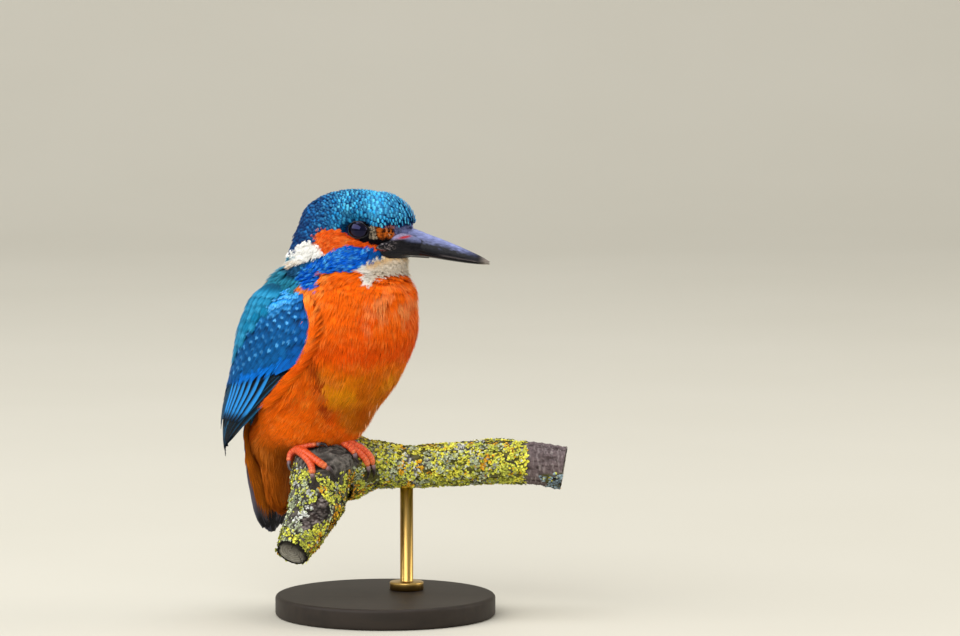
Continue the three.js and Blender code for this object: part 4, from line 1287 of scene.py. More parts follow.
def twoTone(dark, light):  # root and tip colours for a group, each feather with its own share of the two
    def tones(points, count):
        base = np.broadcast_to(paint[dark], points.shape) * (0.85 + 0.5 * draw.random(count))[:, None]
        return base, blendTo(paint[light], paint[dark], 0.5 * draw.random(count))
    return tones


def earShades(points, count):  # orange, paler towards the back, a third of the feathers deeper
    f, u, side = sideView(points)
    tip = blendTo(paint["ear"], paint["earPale"], 0.8 * draw.random(count) ** 1.5 * ease(7, -4, f))
    tip = blendTo(tip, paint["earDeep"], 0.8 * (draw.random(count) > 0.65))
    # the darker root is painted shade
    return tip * 0.85, tip


def malarShades(points, count):  # blue with light streaks on two feathers in five, teal towards the bill
    f, u, side = sideView(points)
    front = ease(5, 12, f)
    base = blendTo(paint["malarDark"], paint["malarFront"] * 0.6, front)
    streaked = 0.95 * (draw.random(count) > 0.6) * draw.random(count) ** 0.5
    tip = blendTo(paint["malar"], paint["malarLight"], streaked)
    return base, blendTo(tip, paint["malarFront"], 0.75 * front)


def throatShades(points, count):  # cream, shaded below a slanting line, with a yellow band along the line
    f, u, side = sideView(points)
    line = u + 13.3 - 0.35 * (np.minimum(f, 18) - 9.7)
    shaded = 0.15 * draw.random(count) + 0.4 * ease(0.5, -1.5, line) * ease(8, 11, f)
    tip = blendTo(paint["throat"], paint["throatShade"], shaded)
    tip = blendTo(tip, paint["throatYellow"], 0.7 * bell(line, 0, 1.3) * ease(6, 9, f))
    # the darker root is painted shade
    return tip * 0.94, tip


def whiteShades(points, count):  # white, tanned at the patch's lower back corner
    f, u, side = sideView(points)
    tan = ease(-14, -22, f) * ease(-11, -14, u)
    tip = blendTo(paint["neckWhite"], paint["neckTan"], 0.75 * tan * draw.random(count))
    # the darker root is painted shade
    return tip * 0.95, tip


def loreShades(points, count):  # pale bars before the eye, rust behind the bill, black below and round them
    f, u, side = sideView(points)
    tilted = f + 0.25 * u
    barred = ease(8.2, 8.8, tilted) * ease(11.6, 11.0, tilted) * (0.55 + 0.45 * np.sin(tilted * 4.6 + 0.8))
    pale = barred * ease(-3.6, -2.8, u) * ease(2.2, 1.6, u)
    ragged = softNoise(points * (1, 1, 0.5), 0.8, 33)
    rust = ease(11.4, 12.2, tilted) * ease(19.8, 18, f + 2.4 * (ragged - 0.5)) * ease(0.22, 0.5, ragged)
    rust = rust * ease(-3, -1.4, u + 0.12 * (f - 12) + 2.2 * (ragged - 0.5))
    tip = paint["loreBlack"]
    for name, share in (
        ("lorePale", 0.9 * pale),
        ("loreRust", rust),
        ("lorePale", 0.6 * rust * ease(0.58, 0.72, ragged) * ease(14, 17, f)),
        ("ear", 0.9 * bell(u, -5.9, 0.35) * ease(4, 7, f) * ease(13.5, 12, f)),
        (
            "loreBlue",
            0.85 * ease(18.0, 19.2, f) * ease(-2.6, -1.2, u) + 0.5 * ease(12, 16, f) * ease(0.6, 1.8, u),
        ),
    ):
        tip = blendTo(tip, paint[name], share)
    # the darker root is painted shade
    return tip * 0.6, tip


def roundEye(points):  # inside 5.9 mm of the line through both eyes
    f, l, u = localColumns(headFrame, points)
    return np.hypot(f - eyeShape["forward"], u - eyeShape["up"]) < 5.9


faceFinish = featherFinish("fineFacialFeather", 14, 0.65, 0.08, contrast=0.06)  # soft and dull
# blue glint
blueFinish = featherFinish("iridescentCheekFeather", 14, 0.45, 0.06, "#8FC8FF", metal=0.1, contrast=0.12)
faceCoat = dict(
    underCoat, spacing=0.8, length=3.6, halfWidth=0.8, blades=5, rows=5, rise=0.12, ahead=2.0, overWing=0,
)
throatCoat = dict(
    faceCoat, rise=0.2, halfWidth=0.7, clump=0.05, splay=0.03, fray=0.2, vary=0.06, ahead=3.0,
    lengthOf=lambda p: np.interp(p[:, 2], [126, 132, 139], [6.0, 4.6, 2.6]),
)
cheekCoat = dict(
    faceCoat, spacing=0.85, length=5.0, halfWidth=0.62, blades=4, rows=6, rise=0.25, clump=0.15, splay=0.05,
    fray=0.3,
    vary=0.8,
)
streakCoat = dict(faceCoat, length=4.4, rise=0.2, clump=0.2, splay=0.08, vary=0.6)
patchCoat = dict(
    faceCoat, length=3.9, halfWidth=0.95, rise=0.5, clump=0.08, splay=0.04, fray=0.15, vary=0.06, ahead=2.5,
)
earCoat = dict(
    faceCoat, length=4.4, halfWidth=0.6, blades=4, rise=0.3, clump=0.1, splay=0.04, fray=0.25, vary=0.4,
)
browCoat = dict(faceCoat, spacing=0.5, length=1.3, halfWidth=0.34, blades=3, rows=4, rise=0.05, ahead=0.4)
loreCoat = dict(faceCoat, spacing=0.5, length=1.9, halfWidth=0.36, blades=4, rows=4, rise=0.05)
for name, zone, shape, slot, finish, shades, seed, part in (
    ("throatFeathers", "throat", throatCoat, "crown_feathers", faceFinish, throatShades, 11, None),
    ("cheekStripes", "malar", cheekCoat, "crown_feathers", blueFinish, malarShades, 12, None),
    (
        "neckStreaks", "streak", streakCoat, "nape_feathers", blueFinish, twoTone("streak", "streakLight"),
        13, None,
    ),
    ("neckPatches", "neckWhite", patchCoat, "nape_feathers", faceFinish, whiteShades, 14, None),
    ("earPatches", "ear", earCoat, "crown_feathers", faceFinish, earShades, 15, None),
    (
        "browDown", "crown", browCoat, "crown_feathers", blueFinish, twoTone("crownDark", "crownTeal"), 17,
        roundEye,
    ),
    ("loreBristles", "lore", loreCoat, "crown_feathers", faceFinish, loreShades, 16, None),
):
    softCoat(name, (zone,), shape, slot, finish, shades, seed, part)

# Back: teal vanes over the mantle and brilliant blue ones down the middle.
mantleCoat = {"spacing": 1.7, "length": 7.5, "halfWidth": 1.8, "rows": 7, "rise": 0.3, "barbs": 9}
backCoat = {"spacing": 1.8, "length": 6.5, "halfWidth": 1.9, "rows": 6, "rise": 0.15, "barbs": 9}


def vaneCoat(name, zone, shape, slot, material, colourOf, seed):
    # frayed vanes along the lie, dark at root and edges and light at the tip, each barb with its own
    # brightness
    roots, spots = spreadRoots(shape["spacing"], rootsIn((zone,), shape["length"] * 0.45), seed)
    count, rows = len(roots), shape["rows"]
    length = shape["length"] * jitter(count, 0.15)
    rise = shape["rise"] * jitter(count, 0.6)
    spine, outward = fleshSpines(
        roots, length, rows, -coatDepth(roots), rise, (draw.random(count) - 0.5) * 0.4,
    )
    wide = shape["halfWidth"] * jitter(count, 0.12)
    points, faces, vane = frayedVanes(spine, outward, wide, shape["barbs"], 0.3, 0.12, 0.6)
    root, tip = colourOf(spine[:, -2], count)
    share = ease(0.35, 0.8, vane[:, 1]) * (1 - 0.35 * np.abs(vane[:, 0] * 2 - 1) ** 2)
    colours = blendTo(spreadOver(root, vane), spreadOver(tip, vane), share)
    barbTone = 0.65 + 0.8 * draw.random(count * shape["barbs"]) ** 1.5
    featherPiece(
        name, points, faces, vane, spots, colours * spreadOver(barbTone, vane)[:, None], material, slot,
    )
    print(name, count, "vanes")


mantleFinish = featherFinish("looseMantleFeather", 8, 0.5, 0.08, "#7FD8E8", metal=0.1, contrast=0.15)
backFinish = featherFinish("brilliantBackFeather", 10, 0.4, 0.08, "#9FF0FF", metal=0.2, contrast=0.15)
mantleShades, backShades = twoTone("mantleDark", "mantle"), twoTone("backDeep", "backLight")
vaneCoat("mantleFeathers", "mantle", mantleCoat, "nape_feathers", mantleFinish, mantleShades, 21)
vaneCoat("backFeathers", "back", backCoat, "breast_feathers", backFinish, backShades, 22)


# Wings: each level is a quadratic curve from the front edge (w 0) round a corner to the back edge (w 1).
wingShape = {"foot": 61.5, "top": 128.2, "inset": 1.15, "rootDepth": 5.0, "tipDepth": 1.3}
wingColours = {
    # pad is painted shade: the near-black under the wing's vanes
    "pad": "#05131F", "covertDark": "#06264A", "covert": "#064E8A", "covertLight": "#1674BC",
    "covertPlain": "#0480EE",
    "spot": "#66C2FF", "shoulder": "#1A9CF4", "shoulderLight": "#78D2FF", "front": "#0450A2",
    "scapular": "#0A78A4", "scapularDark": "#043A54", "scapularLight": "#48B8E8",
    "stripe": "#2E96EA", "stripeDark": "#020810", "primary": "#0C1216", "primaryEdge": "#1A5E88",
    "brown": "#171110",
    # the tail's pale edge colour is a painted sheen
    "tailBack": "#0B3E78", "tailFront": "#17171C", "tailEdgeSheen": "#8E8FA2",
}
wingPaint = linearTable(wingColours)


def wingSurface(side, w, z):
    # point of the closed wing's outer surface, quadratic in w between the table's edges
    frontF, frontL, backF, backL = wingLevel(z)
    p, q, r = (1 - w) ** 2, 2 * w * (1 - w), w ** 2
    f, l = p * frontF + q * backF + r * backF, p * frontL + q * frontL * 0.97 + r * backL
    sign = 1 if side == "l" else -1
    return placed(bodyFrame, np.stack([f, sign * l, np.broadcast_to(z, f.shape)], -1))


def wingOut(side, w, z):  # which way is out, from small steps along w and z
    inW, inZ = np.clip(w, 0, 1), np.clip(z, 62, 127.5)
    stepW = wingSurface(side, inW + 0.01, z) - wingSurface(side, inW - 0.01, z)
    stepZ = wingSurface(side, w, inZ + 0.4) - wingSurface(side, w, inZ - 0.4)
    out = unit(np.cross(stepW, stepZ))
    away = (wingSurface(side, w, z) - placed(bodyFrame, (-18, 0, 95))) * (1, 1, 0)
    return out * np.sign((out * away).sum(-1, keepdims=True))


def wingShadePad(side):
    # a dark closed pad under the vanes: the outer surface set in, and the same surface set in deeper
    # the pad's near-black colour is painted shade under the vanes
    z, w = np.meshgrid(
        np.linspace(wingShape["foot"] + 1.5, wingShape["top"] - 4.0, 70), np.linspace(0.0, 1.0, 34),
        indexing="ij",
    )
    outer, out = wingSurface(side, w, z), wingOut(side, w, z)
    t = (z - wingShape["foot"]) / (wingShape["top"] - wingShape["foot"])
    depth = wingShape["tipDepth"] + (wingShape["rootDepth"] - wingShape["tipDepth"]) * ease(0.1, 0.5, t)
    edge = np.minimum(1, np.minimum(3 * w, 3 * (1 - w)))
    top = outer - out * wingShape["inset"]
    under = outer - out * (wingShape["inset"] + 0.5 + (depth - 0.5) * edge)[..., None]
    rings = np.concatenate([top, under[:, ::-1]], axis=1)
    return closedLoft(rings, rings[0].mean(0), rings[-1].mean(0))


def wingVanes(side, name, group, tips, colourOf, lengths=None, roots=None, spots=0.0):
    # vanes from root to tip by w and height; without roots they run up the wing by their length and w drifts
    # slowly
    count, rows = len(tips), group["rows"]
    u = np.linspace(0, 1, rows)
    if roots is None:
        z = tips[:, 1:2] + lengths[:, None] * (1 - u) * 0.97
        drift = np.interp(z, [80, 90, 96, 130], [0.004, 0.002, -0.0045, -0.0045])
        w = tips[:, :1] + drift * (z - tips[:, 1:2])
    else:
        w, z = (roots[:, k:k + 1] + (tips[:, k:k + 1] - roots[:, k:k + 1]) * u for k in range(2))
    low, high = group["rise"]
    height = (low + (high - low) * u ** 0.9)[None] + (draw.random((count, 1)) - 0.5) * 0.12
    outward = wingOut(side, w, z)
    spine = wingSurface(side, w, z) + outward * height[..., None]
    wide = np.broadcast_to(group["halfWidth"], (count,)).astype(float)
    if "barbs" in group:
        points, faces, vane = frayedVanes(spine, outward, wide, group["barbs"], 0.14, 0.05, 0.78)
    else:
        wide = wide[:, None] * vaneProfile(rows, 0.45, group["tip"])
        points, faces, vane = wholeVanes(spine, outward, wide, 0.16, group["lean"])
    if side == "l":
        vane = np.stack([1 - vane[:, 0], vane[:, 1]], 1)
    across, along = vane.reshape(count, -1, 2).transpose(2, 0, 1)
    colours = colourOf(along, across * 2 - 1, w[:, -1:])
    bake = np.stack([np.clip(w[:, -1], 0, 1), (z[:, -1] - 55) / 80], 1)
    values = {"spot": spreadOver(np.broadcast_to(spots, (count,)), vane)}
    featherPiece(name, points, faces, vane, bake, colours, group["finish"], group["slot"], values=values)
    return count


def scapularEdge(z):  # where the scapulars' edge lies across the wing
    return np.interp(
        z, [60, 88, 96, 105.6, 115, 119, 124, 127, 131], [1.2, 0.8, 0.6, 0.455, 0.33, 0.29, 0.22, 0.1, 0.0],
    )


covertRows = [  # height at the front edge, fall towards the back, spacing, length, half width, spot
    (127.2, -16, 1.9, 2.6, 1.3, 0.0), (126.4, -20, 2.0, 3.2, 1.35, 0.0), (125.6, -23, 2.1, 4.0, 1.4, 0.05),
    (124.6, -26, 2.5, 5.0, 1.6, 0.15), (122.8, -28, 2.9, 5.6, 1.8, 0.3), (120.6, -30, 4.2, 6.6, 2.3, 0.85),
    (117.2, -34, 4.4, 7.4, 2.5, 0.8), (113.2, -33, 4.0, 7.8, 2.5, 0.18), (108.6, -32, 3.9, 9.2, 2.6, 0.65),
    (102.6, -27, 3.8, 9.5, 2.5, 0.0),
]


def covertTips():
    # tips at even steps along each row, with every tip's length, half width, spot and row number
    rowsOf = []
    for number, (top, fall, spacing, length, half, spot) in enumerate(covertRows):
        w = np.linspace(0, 0.85, 240)
        run = lengthRun(wingSurface("r", w, top + fall * w))
        w = np.interp(np.arange(half * 0.95 + 0.3 + spacing * 0.4 * (number % 2), run[-1], spacing), run, w)
        w = w[w < scapularEdge(top + fall * w) + 0.05]
        tips = np.stack([w, top + fall * w], 1) + (draw.random((len(w), 2)) - 0.5) * (0.014, 1.6)
        mark = spot * (0.25 + 0.8 * draw.random(len(w))) * ease(0.02, 0.08, w)
        same = np.ones(len(w))
        rowsOf.append(np.column_stack([tips, same * length, same * half, mark, same * number]))
    rowsOf = np.concatenate(rowsOf)
    return rowsOf[:, :2], *rowsOf[:, 2:].T


def covertColour(level, mix):
    # fluffy pale shoulder, then dark-edged blue coverts that brighten to their tips
    def tones(u, v, w):
        shoulder = ease(5, 2, level)[:, None] * np.ones(u.shape)
        streak = np.repeat(draw.random((len(u), 9)), u.shape[1] // 9, axis=1)
        base = blendTo(wingPaint["covert"], wingPaint["covertLight"], (0.35 * mix)[:, None])
        base = blendTo(base, wingPaint["shoulder"], shoulder)
        fluff = shoulder * ease(0.5, 1, u) * np.clip(0.5 * mix[:, None] + 0.7 * streak, 0, 1)
        base = blendTo(base, wingPaint["shoulderLight"], fluff)
        base = blendTo(base, wingPaint["front"], 0.7 * ease(0.12, 0.02, w) * (1 - shoulder))
        base = base * (0.85 + 0.3 * streak)[..., None]
        base = blendTo(base, wingPaint["covertDark"], (1 - ease(0.25, 0.75, u)) * 0.85 * (1 - 0.6 * shoulder))
        return blendTo(base, wingPaint["covertDark"], 0.45 * np.abs(v) ** 3 * (1 - 0.8 * shoulder))
    return tones


def plainColour(mix, barbs=0):  # greater coverts: even bright blue, darker along the inner web
    def tones(u, v, w):
        streak = np.full(u.shape, 0.5)
        if barbs:
            streak = np.repeat(draw.random((len(u), barbs)), u.shape[1] // barbs, axis=1)
        base = blendTo(
            wingPaint["covertPlain"], wingPaint["front"], 0.5 * mix[:, None] + 0.45 * ease(0.2, 0.05, w),
        )
        base = base * (0.8 + 0.4 * streak)[..., None]
        return blendTo(
            base, wingPaint["covertDark"], 0.55 * ease(0.1, -0.9, v) + 0.4 * (1 - ease(0.1, 0.5, u)),
        )
    return tones


def stripeColour(u, v, w):  # secondaries: light blue outer web, near-black inner web, both dark at the tip
    edge = 0.1 + 0.35 * u
    blue = ease(edge - 0.12, edge + 0.08, v) * ease(0.98, 0.72, u)
    base = blendTo(wingPaint["stripeDark"], wingPaint["stripe"], blue * (0.75 + 0.25 * u))
    return blendTo(base, wingPaint["primary"], 0.4 * ease(0.78, 1, u))


def primaryColour(u, v, w):  # primaries: dark teal with a thin blue outer edge, brown-black at the tips
    edge = ease(0.45, 0.8, v)
    base = blendTo(wingPaint["primary"], wingPaint["primaryEdge"], edge * ease(1.0, 0.7, u))
    return blendTo(base, wingPaint["brown"], 0.65 * ease(0.7, 1, u) * (1 - 0.5 * edge))


def tertialColour(u, v, w):  # tertials: deep blue, paler along the edges
    base = blendTo(
        wingPaint["scapularDark"], wingPaint["covert"], 0.35 * ease(0.2, 0.9, u) * ease(0.5, 0.95, v),
    )
    return blendTo(base, wingPaint["brown"], 0.5 * ease(0.75, 1, u))


def scapularColour(mix):  # scapulars: teal with light blue streaks
    def tones(u, v, w):
        light = mix[:, None] * ease(0.4, 0.9, u) * (1 - np.abs(v) ** 1.5)
        base = blendTo(wingPaint["scapular"], wingPaint["scapularLight"], 0.7 * light)
        dark = 0.8 * (1 - ease(0.2, 0.7, u)) + 0.45 * np.abs(v) ** 3 * ease(0.2, 0.7, u)
        return blendTo(base, wingPaint["scapularDark"], dark)
    return tones


def scapularTips():  # rows down the wing behind the scapulars' edge, every other row set in by half a step
    tips = []
    for number, z in enumerate(np.arange(121.5, 92, -3.3)):
        w = np.linspace(scapularEdge(z) + 0.02, 0.97, 60)
        run = lengthRun(wingSurface("r", w, np.full(60, z)))
        at = np.interp(np.arange(0.3 + 1.9 * (number % 2), run[-1], 3.7), run, w)
        tips.append(np.stack([at, np.full(len(at), z)], 1))
    tips = np.concatenate(tips)
    return tips + (draw.random(tips.shape) - 0.5) * (0.02, 1.4)


def edgeTufts(side):
    # the body's feathers sweep back over the wing's front edge, from the flesh to just over the vanes
    chance = np.random.default_rng(31)
    z = np.repeat(np.arange(86, 125, 0.8), 4)
    z = z + chance.random(len(z)) - 0.5
    count, u = len(z), np.linspace(0, 1, 8)[:, None]
    forward, front = bodyFrame["axes"][0], np.zeros(len(z))
    edge = wingSurface(side, front, z)
    start = settle(edge + forward * (2.0 + 3.5 * chance.random(count))[:, None], -0.6, 2)
    w = 0.024 * ease(82, 100, z) * chance.random(count)
    out = wingOut(side, w, z - 4)
    short = ease(96, 103, z)[:, None]  # higher up they stop at the edge
    over = wingSurface(side, front, z - 2.2) + out * 1.1 + forward * (0.9 + short)
    end = wingSurface(side, w, z - 5 - 2 * chance.random(count))
    end = end + out * (0.3 + 0.4 * chance.random(count))[:, None]
    end = end + short * (forward * 1.5 - out * 0.8)
    spine = start[:, None] * (1 - u) ** 2 + over[:, None] * 2 * u * (1 - u) + end[:, None] * u ** 2
    outward = np.broadcast_to(out[:, None], spine.shape)
    points, faces, vane = frayedVanes(spine, outward, 1.3 * jitter(count, 0.2), 7, 0.4, 0.15)
    tone = underColour(start) * (0.75 + 0.4 * chance.random(count))[:, None]
    # darker towards the root: painted shade
    colours = spreadOver(tone, vane) * (0.8 + 0.3 * vane[:, 1:])
    spots = np.stack([0.02 + 0.05 * chance.random(count), (z - 60) / 80], 1)
    featherPiece(
        "edgeTufts" + side.upper(), points, faces, vane, spots, colours, downFinish, "breast_feathers",
    )


spot = {"colour": wingColours["spot"], "place": 0.8, "length": 0.1, "width": 0.19}
# satin, light oval spots
covertFinish = featherFinish("spottedWingCovert", 12, 0.42, 0.05, "#9FD8FF", 0.1, 0.14, spot)
# tight, fine barbs
flightFinish = featherFinish("closedFlightFeather", 34, 0.38, 0.02, metal=0.05, contrast=0.12)
# loose, silky teal
scapularFinish = featherFinish("looseScapularFeather", 14, 0.45, 0.06, "#7FD8E8", 0.1, 0.16)
padFinish = downySkin()
flight = {"slot": "flight_feathers", "finish": flightFinish}
covert = {"slot": "wing_coverts", "finish": covertFinish}
groups = {
    "spottedCoverts": {**covert, "rows": 8, "rise": (-1.0, -0.02), "barbs": 9},
    "greaterCoverts": {**covert, "rows": 9, "rise": (-1.0, -0.25), "halfWidth": 2.3, "barbs": 11},
    "alula": {**covert, "rows": 8, "rise": (-0.9, 0.12), "halfWidth": 2.0, "lean": 0.05, "tip": 0.3},
    "secondaries": {**flight, "rows": 10, "rise": (-1.1, -0.35), "halfWidth": 1.9, "lean": 0.1, "tip": 0.25},
    "tertials": {**flight, "rows": 10, "rise": (-1.1, -0.2), "halfWidth": 2.6, "lean": 0.06, "tip": 0.25},
    "primaries": {**flight, "rows": 12, "rise": (-1.15, -0.75), "halfWidth": 1.7, "lean": 0.08, "tip": 0.45},
    "scapulars": {
        **covert, "finish": scapularFinish, "rows": 8, "rise": (-0.7, 0.3), "halfWidth": 2.3, "barbs": 9,
    },
}
covertPlaces, covertLengths, covertWidths, covertSpots, covertLevels = covertTips()
groups["spottedCoverts"]["halfWidth"] = covertWidths
scapularPlaces = scapularTips()
greaterPlaces = np.concatenate(
    [np.linspace((0.13, 93.6), (0.34, 88.2), 5), np.linspace((0.395, 87.6), (0.62, 87.6), 5)]
)
alulaPlaces = np.array([[0.085, 94.6], [0.055, 96.2], [0.03, 98.6]])
tertialPlaces = np.array([[0.58, 70.5], [0.68, 72], [0.78, 74], [0.88, 76.5], [0.95, 80]])
primaryHeights = 59.4 + np.array([9.0, 6.4, 4.2, 2.3, 0.8, 0.0, 1.0, 3.0])
primaryPlaces = np.stack([np.linspace(0.08, 0.8, 8), primaryHeights], 1)
for side in "rl":
    letter = side.upper()
    points, faces = wingShadePad(side)
    makePiece(
        "wingShadePad" + letter, points, faces, padFinish, ("wing_%s_coverts" % side, "wing_%s_flight" % side),
        # painted shade: the pad is near-black all over
        "wing_coverts", colours=np.broadcast_to(wingPaint["pad"], points.shape),
    )
    total = 0
    for name, tips, colourOf, lengths, roots, spots in (
        (
            "spottedCoverts", covertPlaces,
            lambda: covertColour(covertLevels, draw.random(len(covertPlaces))),
            covertLengths, None, covertSpots,
        ),
        (
            "greaterCoverts", greaterPlaces, lambda: plainColour(draw.random(len(greaterPlaces)), 11),
            np.full(10, 19.0), None, 0.0,
        ),
        (
            "alula", alulaPlaces, lambda: plainColour(np.array([0.5, 0.7, 0.9])), np.array([15.0, 13, 11]),
            None, 0.0,
        ),
        (
            "secondaries", np.linspace((0.13, 74), (0.56, 74.5), 8), lambda: stripeColour, None,
            np.linspace((0.15, 97), (0.62, 94), 8), 0.0,
        ),
        (
            "tertials", tertialPlaces, lambda: tertialColour, None, np.linspace((0.62, 100), (0.95, 98), 5),
            0.0,
        ),
        (
            "primaries", primaryPlaces, lambda: primaryColour, None, np.linspace((0.015, 95), (0.2, 92), 8),
            0.0,
        ),
        (
            "scapulars", scapularPlaces, lambda: scapularColour(draw.random(len(scapularPlaces))),
            np.minimum(10.5, 128 - scapularPlaces[:, 1]), None, 0.0,
        ),
    ):
        total += wingVanes(side, name + letter, groups[name], tips, colourOf(), lengths, roots, spots)
    edgeTufts(side)
    print("wing", letter, total, "vanes")

# Tail: twelve vanes from the rump, blue above and slate below. Rows: height, middle forward, half width.
tailTable = [
    [28, -25, 3], [30.8, -25.4, 3.5], [32.6, -25.7, 7.6], [38, -26.6, 10.2], [46, -28.4, 10.4],
    [56, -31.4, 10],
    [66, -33.4, 8.8], [74, -34, 7],
]
tailShape = {"vanes": 12, "halfWidth": 2.7, "foot": 29.8, "top": 70, "bow": 1.6}


def tailLevel(z):  # forward and half width of the tail's middle sheet at a height
    return np.moveaxis(smoothRows(tailTable, z), -1, 0)


def bowed(l):
    # how far the tail's sheet bows forward at a place beside its middle: by the square of that distance
    return tailShape["bow"] * (l / 10) ** 2


def tailVanes(name, offset, colour, edge):
    # vanes fanned from the rump, the outer ones shorter, on one side of the sheet
    count = tailShape["vanes"]
    share = np.linspace(-1, 1, count)
    u = np.linspace(0, 1, 12)
    aside = np.abs(share)[:, None]
    z = tailShape["top"] + (tailShape["foot"] + 2.4 * aside ** 2 - tailShape["top"]) * u
    middle, half = tailLevel(z)
    l = share[:, None] * (half - 1.9) * (0.35 + 0.65 * ease(0, 0.55, u))
    forward = middle + bowed(l) + np.sign(offset) * (abs(offset) - 0.54 * aside)
    spine = placed(bodyFrame, np.stack([forward, l, z], -1))
    outward = np.broadcast_to(bodyFrame["axes"][0] * np.sign(offset), spine.shape)
    wide = np.broadcast_to(tailShape["halfWidth"] * vaneProfile(12, 0.5, 0.4), (count, 12))
    points, faces, vane = wholeVanes(spine, outward, wide, 0.08)
    side = np.abs(vane[:, 0] * 2 - 1)
    outer = spreadOver(ease(0.4, 0.7, np.abs(share)), vane)
    shade = blendTo(wingPaint[colour], wingPaint[edge], 0.5 * ease(0.6, 1, side) * ease(0.2, 0.7, vane[:, 1]))
    # the outer vanes painted pale violet-grey short of their tips: painted sheen
    shade = blendTo(shade, wingPaint["tailEdgeSheen"], 0.8 * outer * ease(0.95, 0.7, vane[:, 1]))
    shade = blendTo(shade, wingPaint["brown"], 0.5 * ease(0.8, 1, vane[:, 1]))
    spots = np.stack([share * 0.4 + 0.5, np.full(count, 0.5)], 1)
    featherPiece(name, points, faces, vane, spots, shade, flightFinish, "tail_feathers", ("tail",))


tailVanes("tailFeathersAbove", -1.0, "tailBack", "covert")
# below, the vanes' edges lighten towards the painted sheen colour
tailVanes("tailFeathersBelow", 0.5, "tailFront", "tailEdgeSheen")


def rumpVanes():  # brilliant coverts over the root of the tail, row under row
    rows = 7
    lateral, z = np.meshgrid(np.linspace(-1, 1, 7), np.arange(64, 44, -2.6), indexing="ij")
    lateral, z = (lateral + (np.arange(z.shape[1]) % 2) * 0.12).ravel() * 0.7, z.ravel()
    z = z + 3 * (1 - lateral ** 2) - 2
    u = np.linspace(0, 1, rows)
    height = z[:, None] + 9 * (1 - u)
    middle, half = tailLevel(np.clip(height, 30, 73))
    l = lateral[:, None] * half * 0.75
    spine = placed(bodyFrame, np.stack([middle + bowed(l) - 0.9 - 0.8 * u, l, height], -1))
    outward = np.broadcast_to(-bodyFrame["axes"][0], spine.shape)
    wide = np.broadcast_to(2.2 * vaneProfile(rows), (len(z), rows))
    points, faces, vane = wholeVanes(spine, outward, wide, 0.15)
    tip = blendTo(paint["back"], paint["backLight"], 0.5 * draw.random(len(z)))
    colours = blendTo(paint["backDeep"], spreadOver(tip, vane), ease(0.45, 0.8, vane[:, 1]))
    spots = np.stack([lateral * 0.4 + 0.5, (z - 40) / 40], 1)
    featherPiece("rumpFeathers", points, faces, vane, spots, colours, backFinish, "tail_feathers")


def ventFeathers():  # long soft coverts over the tail's front, row under row, down nearly to its tips
    rows, chance = 7, np.random.default_rng(29)
    lateral, z = np.meshgrid(np.linspace(-1, 1, 13), np.arange(58, 33.0, -1.9), indexing="ij")
    lateral = lateral.ravel() + (chance.random(lateral.size) - 0.5) * 0.12
    z = z.ravel() + chance.random(z.size) * 1.5
    z = z + 12 * np.clip(-lateral - 0.6, 0, 1) + 5 * np.clip(lateral - 0.6, 0, 1)
    u = np.linspace(0, 1, rows)
    height = z[:, None] + 12 * (1 - u)
    middle, half = tailLevel(np.clip(height, 30, 73))
    l = lateral[:, None] * (half + 0.3) * (0.92 + 0.08 * u)
    forward = middle + bowed(l) + 1.0 + 1.4 * (1 - (l / 11) ** 2) * ease(33, 46, height) + 0.5 * u
    spine = placed(bodyFrame, np.stack([forward, l, height], -1))
    outward = np.broadcast_to(bodyFrame["axes"][0], spine.shape)
    points, faces, vane = frayedVanes(spine, outward, 1.9 * jitter(len(z), 0.2), 7, 0.4, 0.25)
    pale = 0.55 * chance.random(len(z)) ** 2 + 0.2 * (z > 50) + 0.25 * ease(0, -0.8, lateral)
    tip = blendTo(paint["underTail"], paint["flankPale"], pale)
    # each vent feather darker towards its root: painted shade under the tail
    colours = blendTo(paint["underTailShade"], spreadOver(tip, vane), 0.35 + 0.65 * ease(0.1, 0.7, vane[:, 1]))
    spots = np.stack([np.clip(lateral, -1, 1) * 0.4 + 0.5, (z - 30) / 40], 1)
    featherPiece("ventFeathers", points, faces, vane, spots, colours, downFinish, "tail_feathers")


rumpVanes()
ventFeathers()
print("tail")


